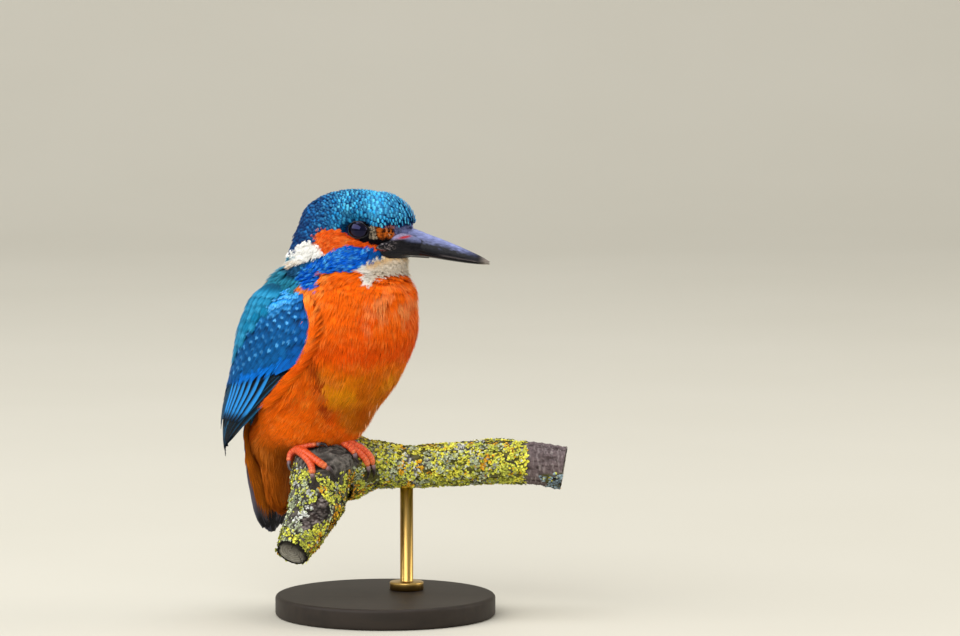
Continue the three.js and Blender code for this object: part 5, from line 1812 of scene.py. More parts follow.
# Feet: scaly toes that bend over the perch, and curved claws. Rows are x, y, z and radius.
toeTable = {
    "r": {
        "shank": [[-30.5, 1.5, 76, 1.7], [-31.8, -1.5, 70.5, 1.5], [-33.2, -4.8, 65.6, 1.6]],
        "middle": [
            [-33.2, -5.6, 64.6, 1.6], [-30.6, -9.6, 63.9, 1.5], [-27.2, -13.2, 62, 1.4],
            [-24.3, -15, 60.2, 1.35],
            [-21.9, -15.2, 58.6, 1.15],
        ],
        "outer": [
            [-33.2, -5.8, 64.2, 1.6], [-30.2, -11.4, 62.4, 1.45], [-28.2, -14.4, 60, 1.3],
            [-27.5, -15.6, 58, 1.25],
            [-27.4, -16.3, 56.2, 1.05],
        ],
        "inner": [[-32.8, -5.6, 65, 1.4], [-29.6, -8, 66, 1.2], [-25.8, -8.8, 66.8, 0.95]],
        "hind": [[-33.4, -5.2, 64.4, 1.5], [-35.8, -4.6, 62.4, 1.3], [-36.5, -5.8, 59.6, 1.05]],
    },
    "l": {
        "shank": [[-17.5, 2.2, 78, 1.7], [-17.8, 0.8, 74, 1.5], [-18.4, -1.6, 70.6, 1.6]],
        "middle": [
            [-18.4, -2, 69.9, 1.6], [-15, -5.2, 67.8, 1.5], [-11.8, -5, 66.1, 1.4], [-8.2, -4, 63.9, 1.35],
            [-5.6, -3.3, 61, 1.3], [-4.5, -2.8, 57.9, 1.1],
        ],
        "outer": [
            [-18.4, -2.4, 69.6, 1.6], [-15.6, -6.6, 66.9, 1.4], [-12.4, -6.4, 65, 1.3],
            [-9.4, -5.6, 62.6, 1.25],
            [-7.4, -5, 60.2, 1.2], [-6.4, -4.4, 57.6, 1.05],
        ],
        "inner": [[-17.6, -4.4, 68.3, 1.3], [-13.6, -7.2, 65.3, 1.1], [-11.6, -7.3, 62.8, 0.9]],
        "hind": [[-18.6, -1.4, 69.8, 1.5], [-21.2, 1.6, 69.8, 1.3], [-23.2, 5.2, 68.6, 1.05]],
    },
}
clawTable = {
    "r": {
        "middle": [[-20.6, -15, 57.6, 0.75], [-19.7, -14.2, 56, 0.5], [-19.6, -13.2, 54.6, 0.25]],
        "outer": [[-27.2, -16.6, 54.4, 0.7], [-27, -16.2, 52.6, 0.5], [-27, -15, 51.2, 0.25]],
        "inner": [[-24.2, -8.6, 67, 0.7], [-22.8, -8.8, 66.6, 0.5], [-21.8, -9.4, 65.6, 0.25]],
        "hind": [[-36.4, -7.2, 58, 0.7], [-35.8, -8.6, 57, 0.5], [-34.9, -9.8, 56.6, 0.25]],
    },
    "l": {
        "middle": [[-4.2, -2.2, 56, 0.7], [-4.2, -1.4, 54.2, 0.5], [-4.6, -0.4, 53, 0.25]],
        "outer": [[-6.2, -3.8, 55.6, 0.7], [-6.6, -2.8, 53.8, 0.5], [-7.4, -1.8, 52.6, 0.25]],
        "inner": [[-11, -7, 61.1, 0.65], [-10.6, -6.4, 59.8, 0.45], [-10.6, -5.6, 58.8, 0.25]],
        "hind": [[-23.8, 6.8, 67.6, 0.7], [-23.8, 8, 66.4, 0.5], [-23.4, 9, 65.4, 0.25]],
    },
}

# Perch: a cut length of branch, its bark roughened along the grain and mostly hidden by lichens.
branchTable = np.array([  # x, y, z and radius along the middle, from the sawn stub to the sawn arm
    [-35, -16, 26.5, 6.6], [-30.2, -12.3, 35, 8.4], [-25.9, -7.6, 44.6, 10.4], [-22.9, -1.7, 55.4, 12.1],
    [-14.2, 5.3, 57.4, 11.2], [-4, 8.5, 56.7, 8.9], [9, 11, 55.6, 8.0], [26, 12, 56.4, 8.2],
    [44, 12, 57.4, 8.4], [58, 11.5, 56.6, 8.1], [68, 11, 55, 8.2],
])
barkShape = {
    "rows": 430, "columns": 168, "plates": 0.5, "cracks": 0.75, "grain": 0.22, "bareFrom": 53.5, "kerf": 0.35,
    "slant": 0.38, "slantReach": 13, "gusset": 2.8,
}
barkColours = {
    "bark": "#3F3A35", "barkHigh": "#7C766F", "crevice": "#100C0A", "bare": "#6A5C5C", "bareHigh": "#A79C98",
    "bareLow": "#3E3230", "wood": "#4A463E", "woodPale": "#ACA89C", "woodDark": "#14100C", "under": "#5E5C22",
    "yellow": "#D0BE28", "yellowHigh": "#FFFF66", "yellowGreen": "#959A30", "yellowGreenHigh": "#DBDE5F",
    "orange": "#D08711", "orangeHigh": "#FFC739", "grey": "#7A8362", "greyHigh": "#CDD4B1",
    "ash": "#898C82", "ashHigh": "#DBDCD5", "slate": "#637986", "slateHigh": "#A4B8C0",
}
barkPaint = linearTable(barkColours)


def branchCentre(t):
    # centripetal Catmull-Rom: spans weighed by the square root of the distance between points
    rows = np.concatenate([
        [2 * branchTable[0] - branchTable[1]], branchTable, [2 * branchTable[-1] - branchTable[-2]],
    ])
    place = np.clip(np.floor(t).astype(int), 0, len(branchTable) - 2)
    a, b, c, d = (rows[place + k][:, :3] for k in range(4))
    first, second, third = (
        np.sqrt(np.linalg.norm(q - p, axis=1))[:, None] for p, q in ((a, b), (b, c), (c, d))
    )
    rise = ((b - a) / first - (c - a) / (first + second) + (c - b) / second) * second
    leave = ((c - b) / second - (d - b) / (second + third) + (d - c) / third) * second
    s = (t - place)[:, None]
    middle = b + s * (rise + s * ((3 * c - 3 * b - 2 * rise - leave) + s * (2 * b - 2 * c + rise + leave)))
    radius = rows[place + 1][:, 3] + (rows[place + 2][:, 3] - rows[place + 1][:, 3]) * ease(0, 1, s[:, 0])
    return middle, radius


def branchRings(rows, columns):  # rings at even steps of length; side is ahead x up, over is side x ahead
    fine = np.linspace(0, len(branchTable) - 1, 2000)
    run = lengthRun(branchCentre(fine)[0])
    even = np.linspace(0, run[-1], rows)
    middle, radius = branchCentre(np.interp(even, run, fine))
    ahead = unit(np.gradient(middle, axis=0))
    side = unit(np.cross(ahead, (0, 0, 1.0)))
    over = unit(np.cross(side, ahead))
    return middle, radius, ahead, ringWays(side, over, 2 * np.pi * np.arange(columns) / columns), even


# middle, and half width and height
knots = [((-24.4, -12, 42.6), (3.6, 5.4)), ((-29.2, -14, 37.4), (3.0, 2.8))]


def knot(points, place, size):  # 1 inside an oval scar seen from the front, 0 outside its ragged edge
    reach = np.hypot((points[..., 0] - place[0]) / size[0], (points[..., 2] - place[2]) / size[1])
    ragged = reach + 0.35 * (softNoise(points, 1.6, 71) - 0.5)
    return ease(1.15, 0.85, ragged) * (points[..., 1] < place[1] + 6)


def barkState(points):  # how bare each place is: knots, the worn knuckle between the feet, the smooth arm end
    scar = np.maximum(*(knot(points, *each) for each in knots))
    x, y, z = np.moveaxis(points, -1, 0)
    ragged = 5 * (softNoise(points, 4.0, 72) - 0.5)
    worn = ease(54.5, 59, z + 0.105 * (x + 25) + ragged) * ease(-9, -14, x + ragged * 0.7)
    smooth = ease(barkShape["bareFrom"] - 0.8, barkShape["bareFrom"] + 0.8, x + 0.3 * ragged)
    smooth = smooth * (1 - ease(60, 62.5, x + ragged) * ease(54.5, 53.0, z + 0.3 * ragged))
    return scar, worn, smooth


def barkSkin():
    # rings lifted by plates, cracks, grain, worn ripples and scars; the same fields choose the colours
    middle, radius, ahead, out, run = branchRings(barkShape["rows"], barkShape["columns"])
    front = unit(np.array([0, -1.0, 0]) + ahead[0] * ahead[0, 1])
    # the stub is sawn on the slant
    slide = barkShape["slant"] * np.clip(1 - run / barkShape["slantReach"], 0, 1) ** 2
    plain = middle[:, None] + out * radius[:, None, None]
    plain = plain + ahead[:, None] * (slide[:, None] * ((plain - middle[:, None]) @ front))[..., None]
    along = np.stack([
        np.broadcast_to(run[:, None] * 0.4, plain.shape[:2]), plain[..., 1], out[..., 2] * radius[:, None],
    ], -1)
    scar, worn, smooth = barkState(plain)
    plates = softNoise(along + 31, 3.0, 61) - 0.5
    cracks = (1 - np.abs(2 * softNoise(along + 7, 1.7, 62) - 1)) ** 5
    fine = softNoise(along * 1.3, 0.8, 63) - 0.5
    across = (1 - np.abs(2 * softNoise(along * (0.5, 1.1, 1.1), 0.9, 64) - 1)) ** 5
    rough = (1 - 0.75 * smooth) * (1 - 0.3 * worn)
    fork = bell(plain[..., 0], -11.5, 6) * ease(-0.1, -0.8, out[..., 2])  # the fork fills its own corner
    lift = rough * (barkShape["plates"] * plates - barkShape["cracks"] * cracks) + barkShape["grain"] * fine
    lift = lift + barkShape["gusset"] * fork + worn * (0.45 * across - 0.3 * softNoise(along, 1.3, 69))
    lift = lift + scar * (0.5 * softNoise(plain, 0.9, 68) - 0.45)
    lift = lift + 0.25 * smooth * np.sin(run[:, None] * 2.1 + 2 * plates) ** 9
    lift = lift + 1.1 * (softNoise(plain, 4.0, 70) - 0.5) * ease(6, 0, run)[:, None]
    rings = plain + out * lift[..., None]
    tone = np.clip(0.5 + 1.1 * plates + 0.8 * fine, 0, 1)
    glints = 0.6 * ease(0.55, 0.95, softNoise(plain * (1.6, 0.5, 0.5), 0.7, 65))
    bare = blendTo(barkPaint["bareLow"], barkPaint["bare"], ease(0.2, 0.6, tone))
    bare = blendTo(bare, barkPaint["bareHigh"], glints)
    ridges = softNoise(plain @ np.array([[0.9, 0.4, 0], [0, 0.5, 0], [0.5, -0.4, 1.6]]), 0.8, 67)
    scarred = blendTo(barkPaint["bareLow"], barkPaint["bareHigh"], 0.75 * ease(0.35, 0.8, ridges))
    # darker in cracks, worn hollows and low scar streaks: partly the bark's own colour, partly painted shade
    deep = 0.9 * cracks * rough + 0.45 * worn * (1 - tone) * (1 - scar) + 0.5 * scar * ease(0.35, 0.2, ridges)
    hidden = (1 - scar) * (1 - worn) * (1 - smooth)
    mossy = 0.75 * hidden * ease(0.3, 0.5, softNoise(plain, 2.2, 66)) * ease(-18, -12, plain[..., 0])
    base = blendTo(barkPaint["bark"], barkPaint["barkHigh"], tone ** 2)
    base = blendTo(base, bare, smooth)
    base = blendTo(base, scarred, 0.95 * scar)
    base = blendTo(base, barkPaint["crevice"], np.clip(deep, 0, 1))
    # the worn knuckle darker, with pale lines on its raised ridges: partly pale scratches, partly painted
    # highlight
    base = blendTo(base * (1 - 0.5 * worn)[..., None], barkPaint["barkHigh"], 0.9 * across ** 0.7 * worn)
    base = blendTo(base, barkPaint["under"], mossy)
    kerf = ahead[[0, -1]] * barkShape["kerf"]
    points, faces = closedLoft(rings, middle[0] + kerf[0], middle[-1] - kerf[1])
    material = paintedFinish(  # weathered bark: dull, rough and dry
        "weatheredBark", {"Roughness": 0.85, "Specular IOR Level": 0.25}, "TexNoise",
        {"Scale": 1400.0, "Detail": 3.0},
        {"From Min": 0.3, "From Max": 0.7, "To Min": 0.72, "To Max": 1.25},
        {"Strength": 0.6, "Distance": 0.00025},
    )
    colours = np.concatenate([base.reshape(-1, 3), [barkPaint["wood"]] * 2])
    makePiece("barkSkin", points, faces, material, ("perch",), "bark", colours=colours)
    return middle, ahead, rings


barkMiddle, barkAhead, barkRings = barkSkin()


def sawnFace(number, rows=26):
    # a disc a little proud of the bark's closing: growth rings, a drying crack, a dark rim
    edge, centre, out = barkRings[number], barkMiddle[number], barkAhead[number] * (-1 if number == 0 else 1)
    columns = barkShape["columns"]
    share = np.linspace(0, 1, rows)[:, None]
    grid = centre + (edge - centre) * share[..., None] * 0.985
    reach = np.linalg.norm(grid - centre, axis=-1)
    warp = reach + 0.7 * (softNoise(grid, 3.0, 81) - 0.5)
    growth = 0.5 + 0.5 * np.sin(warp * 2 * np.pi / 1.1)
    ray = np.arange(columns) * 2 * np.pi / columns
    crack = bell(np.mod(ray * 1.5 + 0.2 * warp, 2 * np.pi), 2.0, 0.07) * ease(0.6, 2.5, reach)
    rough = 0.25 * (softNoise(grid, 1.1, 82) - 0.5)
    grid = grid + out * (0.12 + 0.1 * growth - 0.35 * crack + rough)[..., None]
    tone = 0.55 * growth + 0.45 * softNoise(grid, 0.9, 83)
    low = ease(3.5, -3.5, (grid - centre) @ (0.45, 0, 0.9)) if number == 0 else 0.8
    colours = blendTo(barkPaint["wood"], barkPaint["woodPale"], (0.2 + 0.9 * tone) * low)
    for name, amount in (
        ("woodDark", 0.75 * ease(0.55, 0.85, share - 0.5 * low + 0.3 * softNoise(grid, 1.6, 86))),
        ("woodDark", np.clip(crack + 0.55 * ease(0.35, 0.1, softNoise(grid, 2.4, 84)), 0, 1)),
        ("crevice", ease(0.78, 0.9, share + 0.1 * (softNoise(grid, 1.5, 85) - 0.5))),
    ):
        colours = blendTo(colours, barkPaint[name], amount)
    points = grid.reshape(-1, 3)
    return points, sheetsOut(points, [gridFaces(rows, columns, True)], out), colours.reshape(-1, 3)


def sawnFaces():  # both discs in one piece, of grey, dry, matt wood
    ends = sawnFace(0), sawnFace(-1)
    points, faces = joined([end[:2] for end in ends])
    material = paintedFinish("sawnWeatheredWood", {"Roughness": 0.8, "Specular IOR Level": 0.2})
    makePiece(
        "sawnFaces", points, faces, material, slot="bark", colours=np.concatenate([end[2] for end in ends]),
    )


sawnFaces()

# Lichens: small lobes spread out from the middles of rosettes, each rosette of one kind.
lichenShape = {
    "rosettes": 950, "stray": 0.22, "lobes": 30000, "length": (0.55, 1.35), "halfWidth": (0.22, 0.5),
    "lift": 0.5,
    "rows": 3, "columns": 4, "bend": 22,
}
lichenKinds = ("yellow", "yellowGreen", "orange", "grey", "ash", "slate")


def kindWeights(points):
    # which lichens grow where: grey on the stub's left, orange on its right, yellow along the arm
    x, y, z = points.T
    stub = ease(52, 48, z) * ease(-8, -14, x)
    stubLeft = stub * ease(-24, -27, x) * ease(34, 37, z)
    stubFoot = stub * ease(37, 34, z) * ease(-24, -26, x)
    slope = -27 + 0.5 * (z - 30)
    stubRight = stub * ease(slope - 1, slope + 1.5, x)
    top = ease(58, 62, z) * (1 - stub)
    patchy = softNoise(points, 9.0, 91)
    ashTop = 1.2 * top * ease(22, 26, x) * ease(40, 34, x) + 0.35 * ease(-8, -2, x) * ease(12, 6, x) * top
    weights = np.stack([
        0.30 + 0.35 * top + 0.4 * ease(0.5, 0.8, patchy),
        0.45 + 0.3 * ease(58, 52, z) + 2.0 * stubFoot,
        0.10 + 0.9 * stubRight + 0.25 * ease(-16, -10, x) * ease(2, -4, x) * (1 - top),
        0.28 + 1.5 * stubLeft + 0.3 * ease(0.6, 0.3, patchy),
        0.05 + 0.6 * stubLeft + ashTop,
        8.0 * ease(58, 60, x) * ease(52, 50, z),
    ], 1)
    weights[:, [0, 2]] *= (1 - 0.85 * stubLeft[:, None])
    return weights / weights.sum(1, keepdims=True)


def offToes(points):  # 0 near the toes and claws, so that nothing grows over them
    clear = np.ones(len(points))
    for table, reach in ((toeTable, 1.5), (clawTable, 1.9)):
        grip = np.concatenate(
            [smoothPath(rows, 9)[:, :3] for foot in table.values() for rows in foot.values()]
        )
        clear *= ease(reach, reach + 0.5, np.sqrt(((points[:, None] - grip) ** 2).sum(-1)).min(1))
    return clear


def lichenLobes():
    # roots spread by area over the rough bark, each lobe pointing away from its rosette's heart
    chance = np.random.default_rng(17)
    rows, columns = barkRings.shape[:2]
    sown = lichenShape["lobes"] * 2
    i, j = (chance.random(sown) * (rows - 2)).astype(int), (chance.random(sown) * columns).astype(int)
    a, b, c = barkRings[i, j], barkRings[i, (j + 1) % columns], barkRings[i + 1, j]
    area = np.linalg.norm(np.cross(b - a, c - a), axis=1)
    keep = chance.random(len(area)) < area / np.percentile(area, 99)
    share = chance.random((len(area), 2, 1))
    root = (a + (b - a) * share[:, 0] + (c - a) * share[:, 1])[keep]
    centre, ahead = barkMiddle[i[keep]], barkAhead[i[keep]]
    scar, worn, smooth = barkState(root)
    clear = 1 - np.maximum(np.maximum(scar, worn * 1.1), smooth)
    onStub = ease(52, 48, root[:, 2]) * ease(-8, -14, root[:, 0])
    bald = onStub * ease(35, 39, root[:, 2]) * ease(0.46, 0.38, softNoise(root, 1.5, 94))
    gaps = ease(0.2, 0.3, softNoise(root, 2.4, 92)) * offToes(root) * (1 - bald)
    keep = chance.random(len(root)) < clear * gaps
    root, centre, ahead = root[keep], centre[keep], ahead[keep]
    count = len(root)
    hearts = root[chance.choice(count, lichenShape["rosettes"], replace=False)]
    chosen = (kindWeights(hearts).cumsum(1) < chance.random((len(hearts), 1))).sum(1)
    nearest = np.argmin(
        (root ** 2).sum(1)[:, None] - 2 * root @ hearts.T + (hearts ** 2).sum(1)[None], axis=1,
    )
    out = root - centre
    out = unit(out - ahead * (out * ahead).sum(1, keepdims=True))
    away = root - hearts[nearest] + chance.normal(size=root.shape) * 0.9
    away = unit(away - out * (away * out).sum(1, keepdims=True))
    length, half = (
        np.interp(chance.random(count), [0, 1], lichenShape[name])[:, None, None]
        for name in ("length", "halfWidth")
    )
    u = np.linspace(0, 1, lichenShape["rows"])[None, :, None]
    v = np.linspace(-1, 1, lichenShape["columns"])[None, None, :]
    size = (count, lichenShape["rows"], lichenShape["columns"])
    ripple = chance.random(size) - 0.5
    reach = length * (u * (1 - 0.22 * v ** 2) + 0.22 * ripple * u)
    width = half * v * (0.45 + 0.75 * np.sin(np.pi * (0.15 + 0.62 * u))) + 0.1 * ripple
    curl = lichenShape["lift"] * (chance.random(count)[:, None, None] * u + 0.45 * ripple * (u > 0))
    # it follows the branch's own roundness
    lift = 0.1 + curl - (width ** 2 + reach ** 2) / lichenShape["bend"]
    points = root[:, None, None] + sum(
        way[:, None, None] * amount[..., None]
        for way, amount in ((away, reach), (np.cross(out, away), width), (out, lift))
    )
    own = (kindWeights(root).cumsum(1) < chance.random((count, 1))).sum(1)
    kind = np.where(chance.random(count) < lichenShape["stray"], own, chosen[nearest])
    plain, bright = (
        np.array([barkPaint[name + tone] for name in lichenKinds])[kind][:, None, None]
        for tone in ("", "High")
    )
    mixed = u * 0.75 + 0.5 * (chance.random(size) - 0.4) + 0.35 * (chance.random(count) - 0.5)[:, None, None]
    colours = blendTo(plain, bright, np.clip(mixed, 0, 1))
    shade = 0.35 + 0.65 * ease(-0.2, 0.6, u + 0.3 * ripple)
    rosette = 0.75 + 0.7 * chance.random(lichenShape["rosettes"])
    shade = shade * (rosette[nearest] * (0.65 + 0.6 * chance.random(count)))[:, None, None]
    return points, colours * shade[..., None], out


def lichens():  # the lobes in two pieces of papery, dry sheets
    points, colours, out = lichenLobes()
    lichen = paintedFinish("folioseLichen", {"Roughness": 0.8, "Specular IOR Level": 0.2})
    half = len(out) // 2
    for name, some in (("lichenStub", slice(0, half)), ("lichenArm", slice(half, None))):
        lobes, count = points[some].reshape(-1, 3), len(out[some])
        quads = manyGrids(count, *points.shape[1:3])
        outward = np.repeat(out[some], len(quads) // count, axis=0)
        faces = sheetsOut(lobes, [quads], outward)
        makePiece(name, lobes, faces, lichen, slot="bark", colours=colours[some].reshape(-1, 3))
    print("lichen", len(out), "lobes")


lichens()

# Stand: a turned base and a thin rod with a collar.
standShape = {
    "radius": 42, "height": 8, "round": 1.4, "rod": 2.5, "x": 8, "y": 10.9, "foot": 8.3, "top": 53,
    "collar": 6.5,
    "collarHeight": 3, "collarRound": 0.5,
}
standColours = {"lacquer": "#26221F", "lacquerGrain": "#3A322B", "brass": "#C8A45C"}


def turnedPiece(outline, x, y, sides):  # an outline (radius, height) carried round an upright axis
    turn = 2 * np.pi * np.arange(sides) / sides
    outline = np.array(outline, float)
    reach, height = outline[:, :1], np.broadcast_to(outline[:, 1:], (len(outline), sides))
    rings = np.stack([x + reach * np.cos(turn), y + reach * np.sin(turn), height], -1)
    return closedLoft(rings, (x, y, outline[0, 1]), (x, y, outline[-1, 1]))


def roundOver(radius, height, size, first, last, steps=6):  # a quarter of a circle that eases a corner
    turn = np.radians(np.linspace(first, last, steps))
    return [(radius + size * np.cos(a), height + size * np.sin(a)) for a in turn]


def stand():
    # the base's outline rises from its underside round two eased corners; the rod's starts with the collar
    s = standShape
    edge, radius, height = s["round"], s["radius"], s["height"]
    outline = [
        (radius * 0.5, 0), (radius - edge * 1.01, 0), *roundOver(radius - edge, edge, edge, -90, 0),
        *roundOver(radius - edge, height - edge, edge, 0, 90), (radius - edge * 1.2, height),
        (radius * 0.5, height),
    ]
    points, faces = turnedPiece(outline, 0, 0, 160)
    material, tree, shader = newMaterial(  # dark, soft shine, faint drawn grain
        "satinLacqueredSteel", {"Roughness": 0.5, "Specular IOR Level": 0.15},
    )
    place = addNode(tree, "TexCoord")
    stretch = addNode(tree, "Mapping", {"Scale": (6.0, 90.0, 60.0)}, {"Vector": place.outputs["Object"]})
    grain = addNode(tree, "TexNoise", {"Scale": 4.0, "Detail": 4.0}, {"Vector": stretch.outputs["Vector"]})
    tone = addNode(tree, "Mix", {
        "data_type": "RGBA", 6: rgba(standColours["lacquer"]), 7: rgba(standColours["lacquerGrain"]),
    }, {0: grain.outputs["Fac"]})
    tree.links.new(tone.outputs[2], shader.inputs["Base Color"])
    makePiece("standBase", points, faces, material, ("stand_base",), "stand_lacquer")
    small, collar, rod, top = s["collarRound"], s["collar"], s["rod"], s["foot"] + s["collarHeight"]
    outline = [
        (collar * 0.5, s["foot"]), (collar, s["foot"]), *roundOver(collar - small, top - small, small, 0, 90),
        (rod + 0.3, top), (rod, top + 0.3), (rod, s["top"]), (rod * 0.5, s["top"]),
    ]
    points, faces = turnedPiece(outline, s["x"], s["y"], 64)
    brass = newMaterial(  # satin metal
        "brushedBrass", {"Base Color": rgba(standColours["brass"]), "Metallic": 1.0, "Roughness": 0.3},
    )[0]
    makePiece("standRod", points, faces, brass, ("stand_rod",), "stand_brass")


stand()
print("perch and stand")


# Skin of the feet and horn of the claws.
toeShape = {
    "rows": 60, "columns": 20, "scute": 1.3, "step": 0.055, "pad": 2.6, "padDepth": 0.12, "round": 0.1,
    "claw": (20, 14),
}
# high is painted light on the toes' tops; low is painted shade underneath and in the creases
toeColours = {
    "skin": "#F8531E", "high": "#FF9A5C", "low": "#841806", "claw": "#2A2022", "clawBase": "#8A6A6E",
}
toePaint = linearTable(toeColours)


def nearestBark(points):
    # the number of the nearest ring of the branch, by the square of the distance to its middle
    return np.argmin(((points[:, None] - barkMiddle[None]) ** 2).sum(-1), axis=1)


def liftClear(points, gap):  # moves points out until they stand that far off the bark
    nearest = nearestBark(points)
    away = points - barkMiddle[nearest]
    out = unit(away)
    ring = barkRings[nearest] - barkMiddle[nearest][:, None]
    size = np.linalg.norm(ring, axis=-1)
    column = (np.einsum("nij,nj->ni", ring, out) / size).argmax(1)
    short = size[np.arange(len(points)), column] + gap - np.linalg.norm(away, axis=1)
    return points + out * np.maximum(short, 0)[:, None]


def toeTube(rows):  # radius steps down from scute to scute on top and swells into pads underneath
    table = smoothPath(rows, toeShape["rows"])
    middle, radius = table[:, :3], table[:, 3]
    run = lengthRun(middle)
    ahead = unit(np.gradient(middle, axis=0))
    side = unit(np.cross(ahead, unit(middle - barkMiddle[nearestBark(middle)])))
    turn = 2 * np.pi * np.arange(toeShape["columns"]) / toeShape["columns"]
    above = ease(-0.2, 0.3, np.sin(turn))[None, :]
    share = np.linspace(0, 1, toeShape["rows"])
    past = np.clip((share - 1 + toeShape["round"]) / toeShape["round"], 0, 0.97)
    phase = np.mod(run / toeShape["scute"] + 0.5 * softNoise(middle, 1.8, 93), 1)[:, None]
    step = toeShape["step"] * above * (1 - phase) ** 1.5
    pads = toeShape["padDepth"] * (1 - above) * np.abs(np.sin(np.pi * run / toeShape["pad"]))[:, None]
    size = (radius * np.sqrt(1 - past ** 2))[:, None] * (1 + step + pads)
    rings = middle[:, None] + size[..., None] * ringWays(side, np.cross(side, ahead), turn)
    points, faces = closedLoft(rings, middle[0] - ahead[0] * 0.2, middle[-1] + ahead[-1] * 0.12 * radius[-1])
    # painted light on the tops and towards the tip, painted shade underneath and between scutes
    crevice = np.maximum(ease(0.78, 0.97, phase), ease(0.1, 0.0, phase)) * above
    lit = 0.3 * above * bell(phase, 0.35, 0.25) + 0.5 * above * ease(0.6, 1, share)[:, None]
    dark = 0.3 * crevice + 0.6 * (1 - above) + 0.25 * softNoise(rings, 1.4, 96)
    colours = blendTo(blendTo(toePaint["skin"], toePaint["high"], lit), toePaint["low"], np.clip(dark, 0, 1))
    return points, faces, loftColours(colours)


def clawCone(rows):  # a tapering curved spine ending in a point
    count, columns = toeShape["claw"]
    middle = smoothPath(rows, count)
    share = np.linspace(0, 1, count)
    radius = 1.2 * middle[:, 3] * np.interp(share, [0, 0.15, 1], [0.95, 1.05, 0.75])
    middle = liftClear(middle[:, :3], np.linspace(1.5, 0.9, count))
    ahead = unit(np.gradient(middle, axis=0))
    side = unit(np.cross(ahead, (0.2, 0.1, 1.0)))
    turn = 2 * np.pi * np.arange(columns) / columns
    rings = middle[:, None] + radius[:, None, None] * ringWays(side * 0.8, np.cross(side, ahead), turn)
    points, faces = closedLoft(rings, middle[0] - ahead[0] * 0.5, middle[-1] + ahead[-1] * 0.7)
    dark = ease(0.0, 0.35, share)[:, None] * np.ones(columns)
    return points, faces, loftColours(blendTo(toePaint["clawBase"], toePaint["claw"], dark))


def tubesPiece(name, parts, material, nodes, slot):  # joins tubes with their colours into one piece
    points, faces = joined([part[:2] for part in parts])
    makePiece(name, points, faces, material, nodes, slot, np.concatenate([part[2] for part in parts]))


scalySkin = paintedFinish(  # small cells between darker furrows, softly wet
    "scalyFootSkin", {"Roughness": 0.32, "Specular IOR Level": 0.45}, "TexVoronoi",
    {"feature": "DISTANCE_TO_EDGE", "Scale": 1500.0},
    {"From Min": 0.0, "From Max": 0.2, "To Min": 0.62, "To Max": 1.08}, {"Strength": 0.5, "Distance": 0.0002},
    read="Distance", raiseTone=True,
)
# polished, paler at the root
clawHorn = paintedFinish("darkClawHorn", {"Roughness": 0.28, "Specular IOR Level": 0.5})
for side in "rl":
    toes, letter = toeTable[side], side.upper()
    tubesPiece(
        "foot" + letter, [toeTube(rows) for rows in toes.values()], scalySkin, ("foot_" + side,), "foot_skin",
    )
    # from inside the toe
    claws = {toe: [[*toes[toe][-1][:3], 0.8], *rows] for toe, rows in clawTable[side].items()}
    names = tuple("claw_%s_%s" % (side, toe) for toe in claws)
    tubesPiece("claws" + letter, [clawCone(rows) for rows in claws.values()], clawHorn, names, "claw_horn")
print("feet")


# Floor, light and camera.
sweep = {
    "front": -4000, "back": 1500, "radius": 900, "top": 4200, "wide": 4500, "pale": "#C6C1B2",
    "fleck": "#CBC6B8",
}


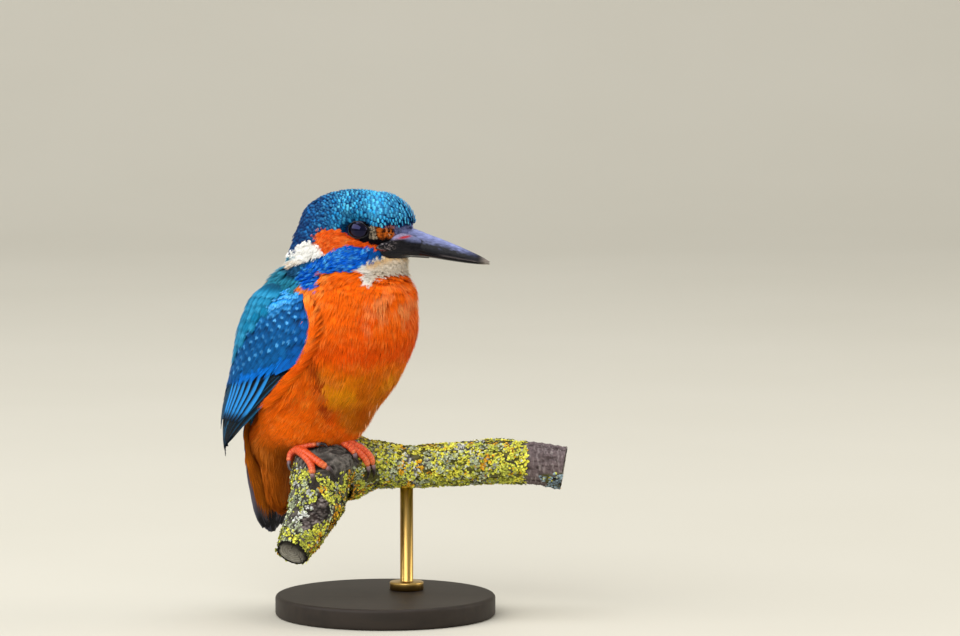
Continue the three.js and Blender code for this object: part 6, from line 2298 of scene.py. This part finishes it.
def studioFloor():  # a pale sweep: flat, then a quarter round up to a wall, carried straight across
    turn = np.linspace(0, np.pi / 2, 14)[1:]
    radius = sweep["radius"]
    back = np.concatenate([
        np.linspace(sweep["front"], sweep["back"], 12), sweep["back"] + radius * np.sin(turn),
        [sweep["back"] + radius],
    ])
    rise = np.concatenate([np.zeros(12), radius - radius * np.cos(turn), [sweep["top"]]])
    across = np.linspace(-sweep["wide"], sweep["wide"], 10)
    grid = np.stack(np.broadcast_arrays(across, back[:, None], rise[:, None]), -1)
    material, tree, shader = newMaterial("mattPaperSweep", {"Roughness": 0.9, "Specular IOR Level": 0.2})
    place = addNode(tree, "TexCoord")
    fibre = addNode(tree, "TexNoise", {"Scale": 6.0, "Detail": 2.0}, {"Vector": place.outputs["Object"]})
    tone = addNode(
        tree, "Mix", {"data_type": "RGBA", 6: rgba(sweep["pale"]), 7: rgba(sweep["fleck"])},
        {0: fibre.outputs["Fac"]},
    )
    tree.links.new(tone.outputs[2], shader.inputs["Base Color"])
    makePiece("studioFloor", grid.reshape(-1, 3), [gridFaces(len(back), 10)], material)


def softbox(name, place, aim, size, power, colour):
    # a lamp whose own axes are side, up and away from its aim
    lamp = bpy.data.lights.new(name, "AREA")
    lamp.shape, lamp.size, lamp.size_y = "RECTANGLE", size[0], size[1]
    lamp.energy, lamp.color = power, tuple(linearColour(colour))
    holder = bpy.data.objects.new(name, lamp)
    holder.location = np.array(place) * metre
    away = unit(np.array(place, float) - np.array(aim, float))
    side = unit(np.cross((0, 0, 1.0), away))
    turn = np.stack([side, np.cross(away, side), away], 1)
    holder.rotation_euler = Matrix(turn.tolist()).to_euler()
    scene.collection.objects.link(holder)


studioFloor()
softbox("keySoftbox", (-1150, -1180, 1420), (0, 0, 100), (4.0, 1.6), 64, "#FFFFFF")
softbox("fillSoftbox", (1800, 150, 700), (0, 0, 100), (1.2, 1.0), 12, "#FFF6EA")
softbox("topSoftbox", (0, 300, 1900), (0, 0, 100), (1.6, 1.2), 21, "#F4F8FF")
scene.world = bpy.data.worlds.new("softRoom")
scene.world.use_nodes = True
room = scene.world.node_tree.nodes["Background"].inputs
room["Color"].default_value = rgba("#EDEFF2")
room["Strength"].default_value = 0.5

view = {
    "elevation": 6.0, "distance": 2500.0, "middleX": 36.1, "middleZ": 113.87, "width": 364.8, "sensor": 36.0,
}
cameraData = bpy.data.cameras.new("portraitCamera")
cameraData.sensor_width = view["sensor"]
cameraData.lens = view["sensor"] * view["distance"] / view["width"]
cameraData.clip_end = 100
camera = bpy.data.objects.new("portraitCamera", cameraData)
tiltUp = np.radians(view["elevation"])
camera.location = np.array([
    view["middleX"], -view["distance"] * np.cos(tiltUp), view["middleZ"] + view["distance"] * np.sin(tiltUp),
]) * metre
camera.rotation_euler = (np.pi / 2 - tiltUp, 0, 0)
scene.collection.objects.link(camera)
scene.camera = camera

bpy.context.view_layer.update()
meshes = [piece for piece in scene.objects if piece.type == "MESH"]
print(
    "triangles", sum(len(p.vertices) - 2 for piece in meshes for p in piece.data.polygons), "in",
    len(meshes), "meshes",
)
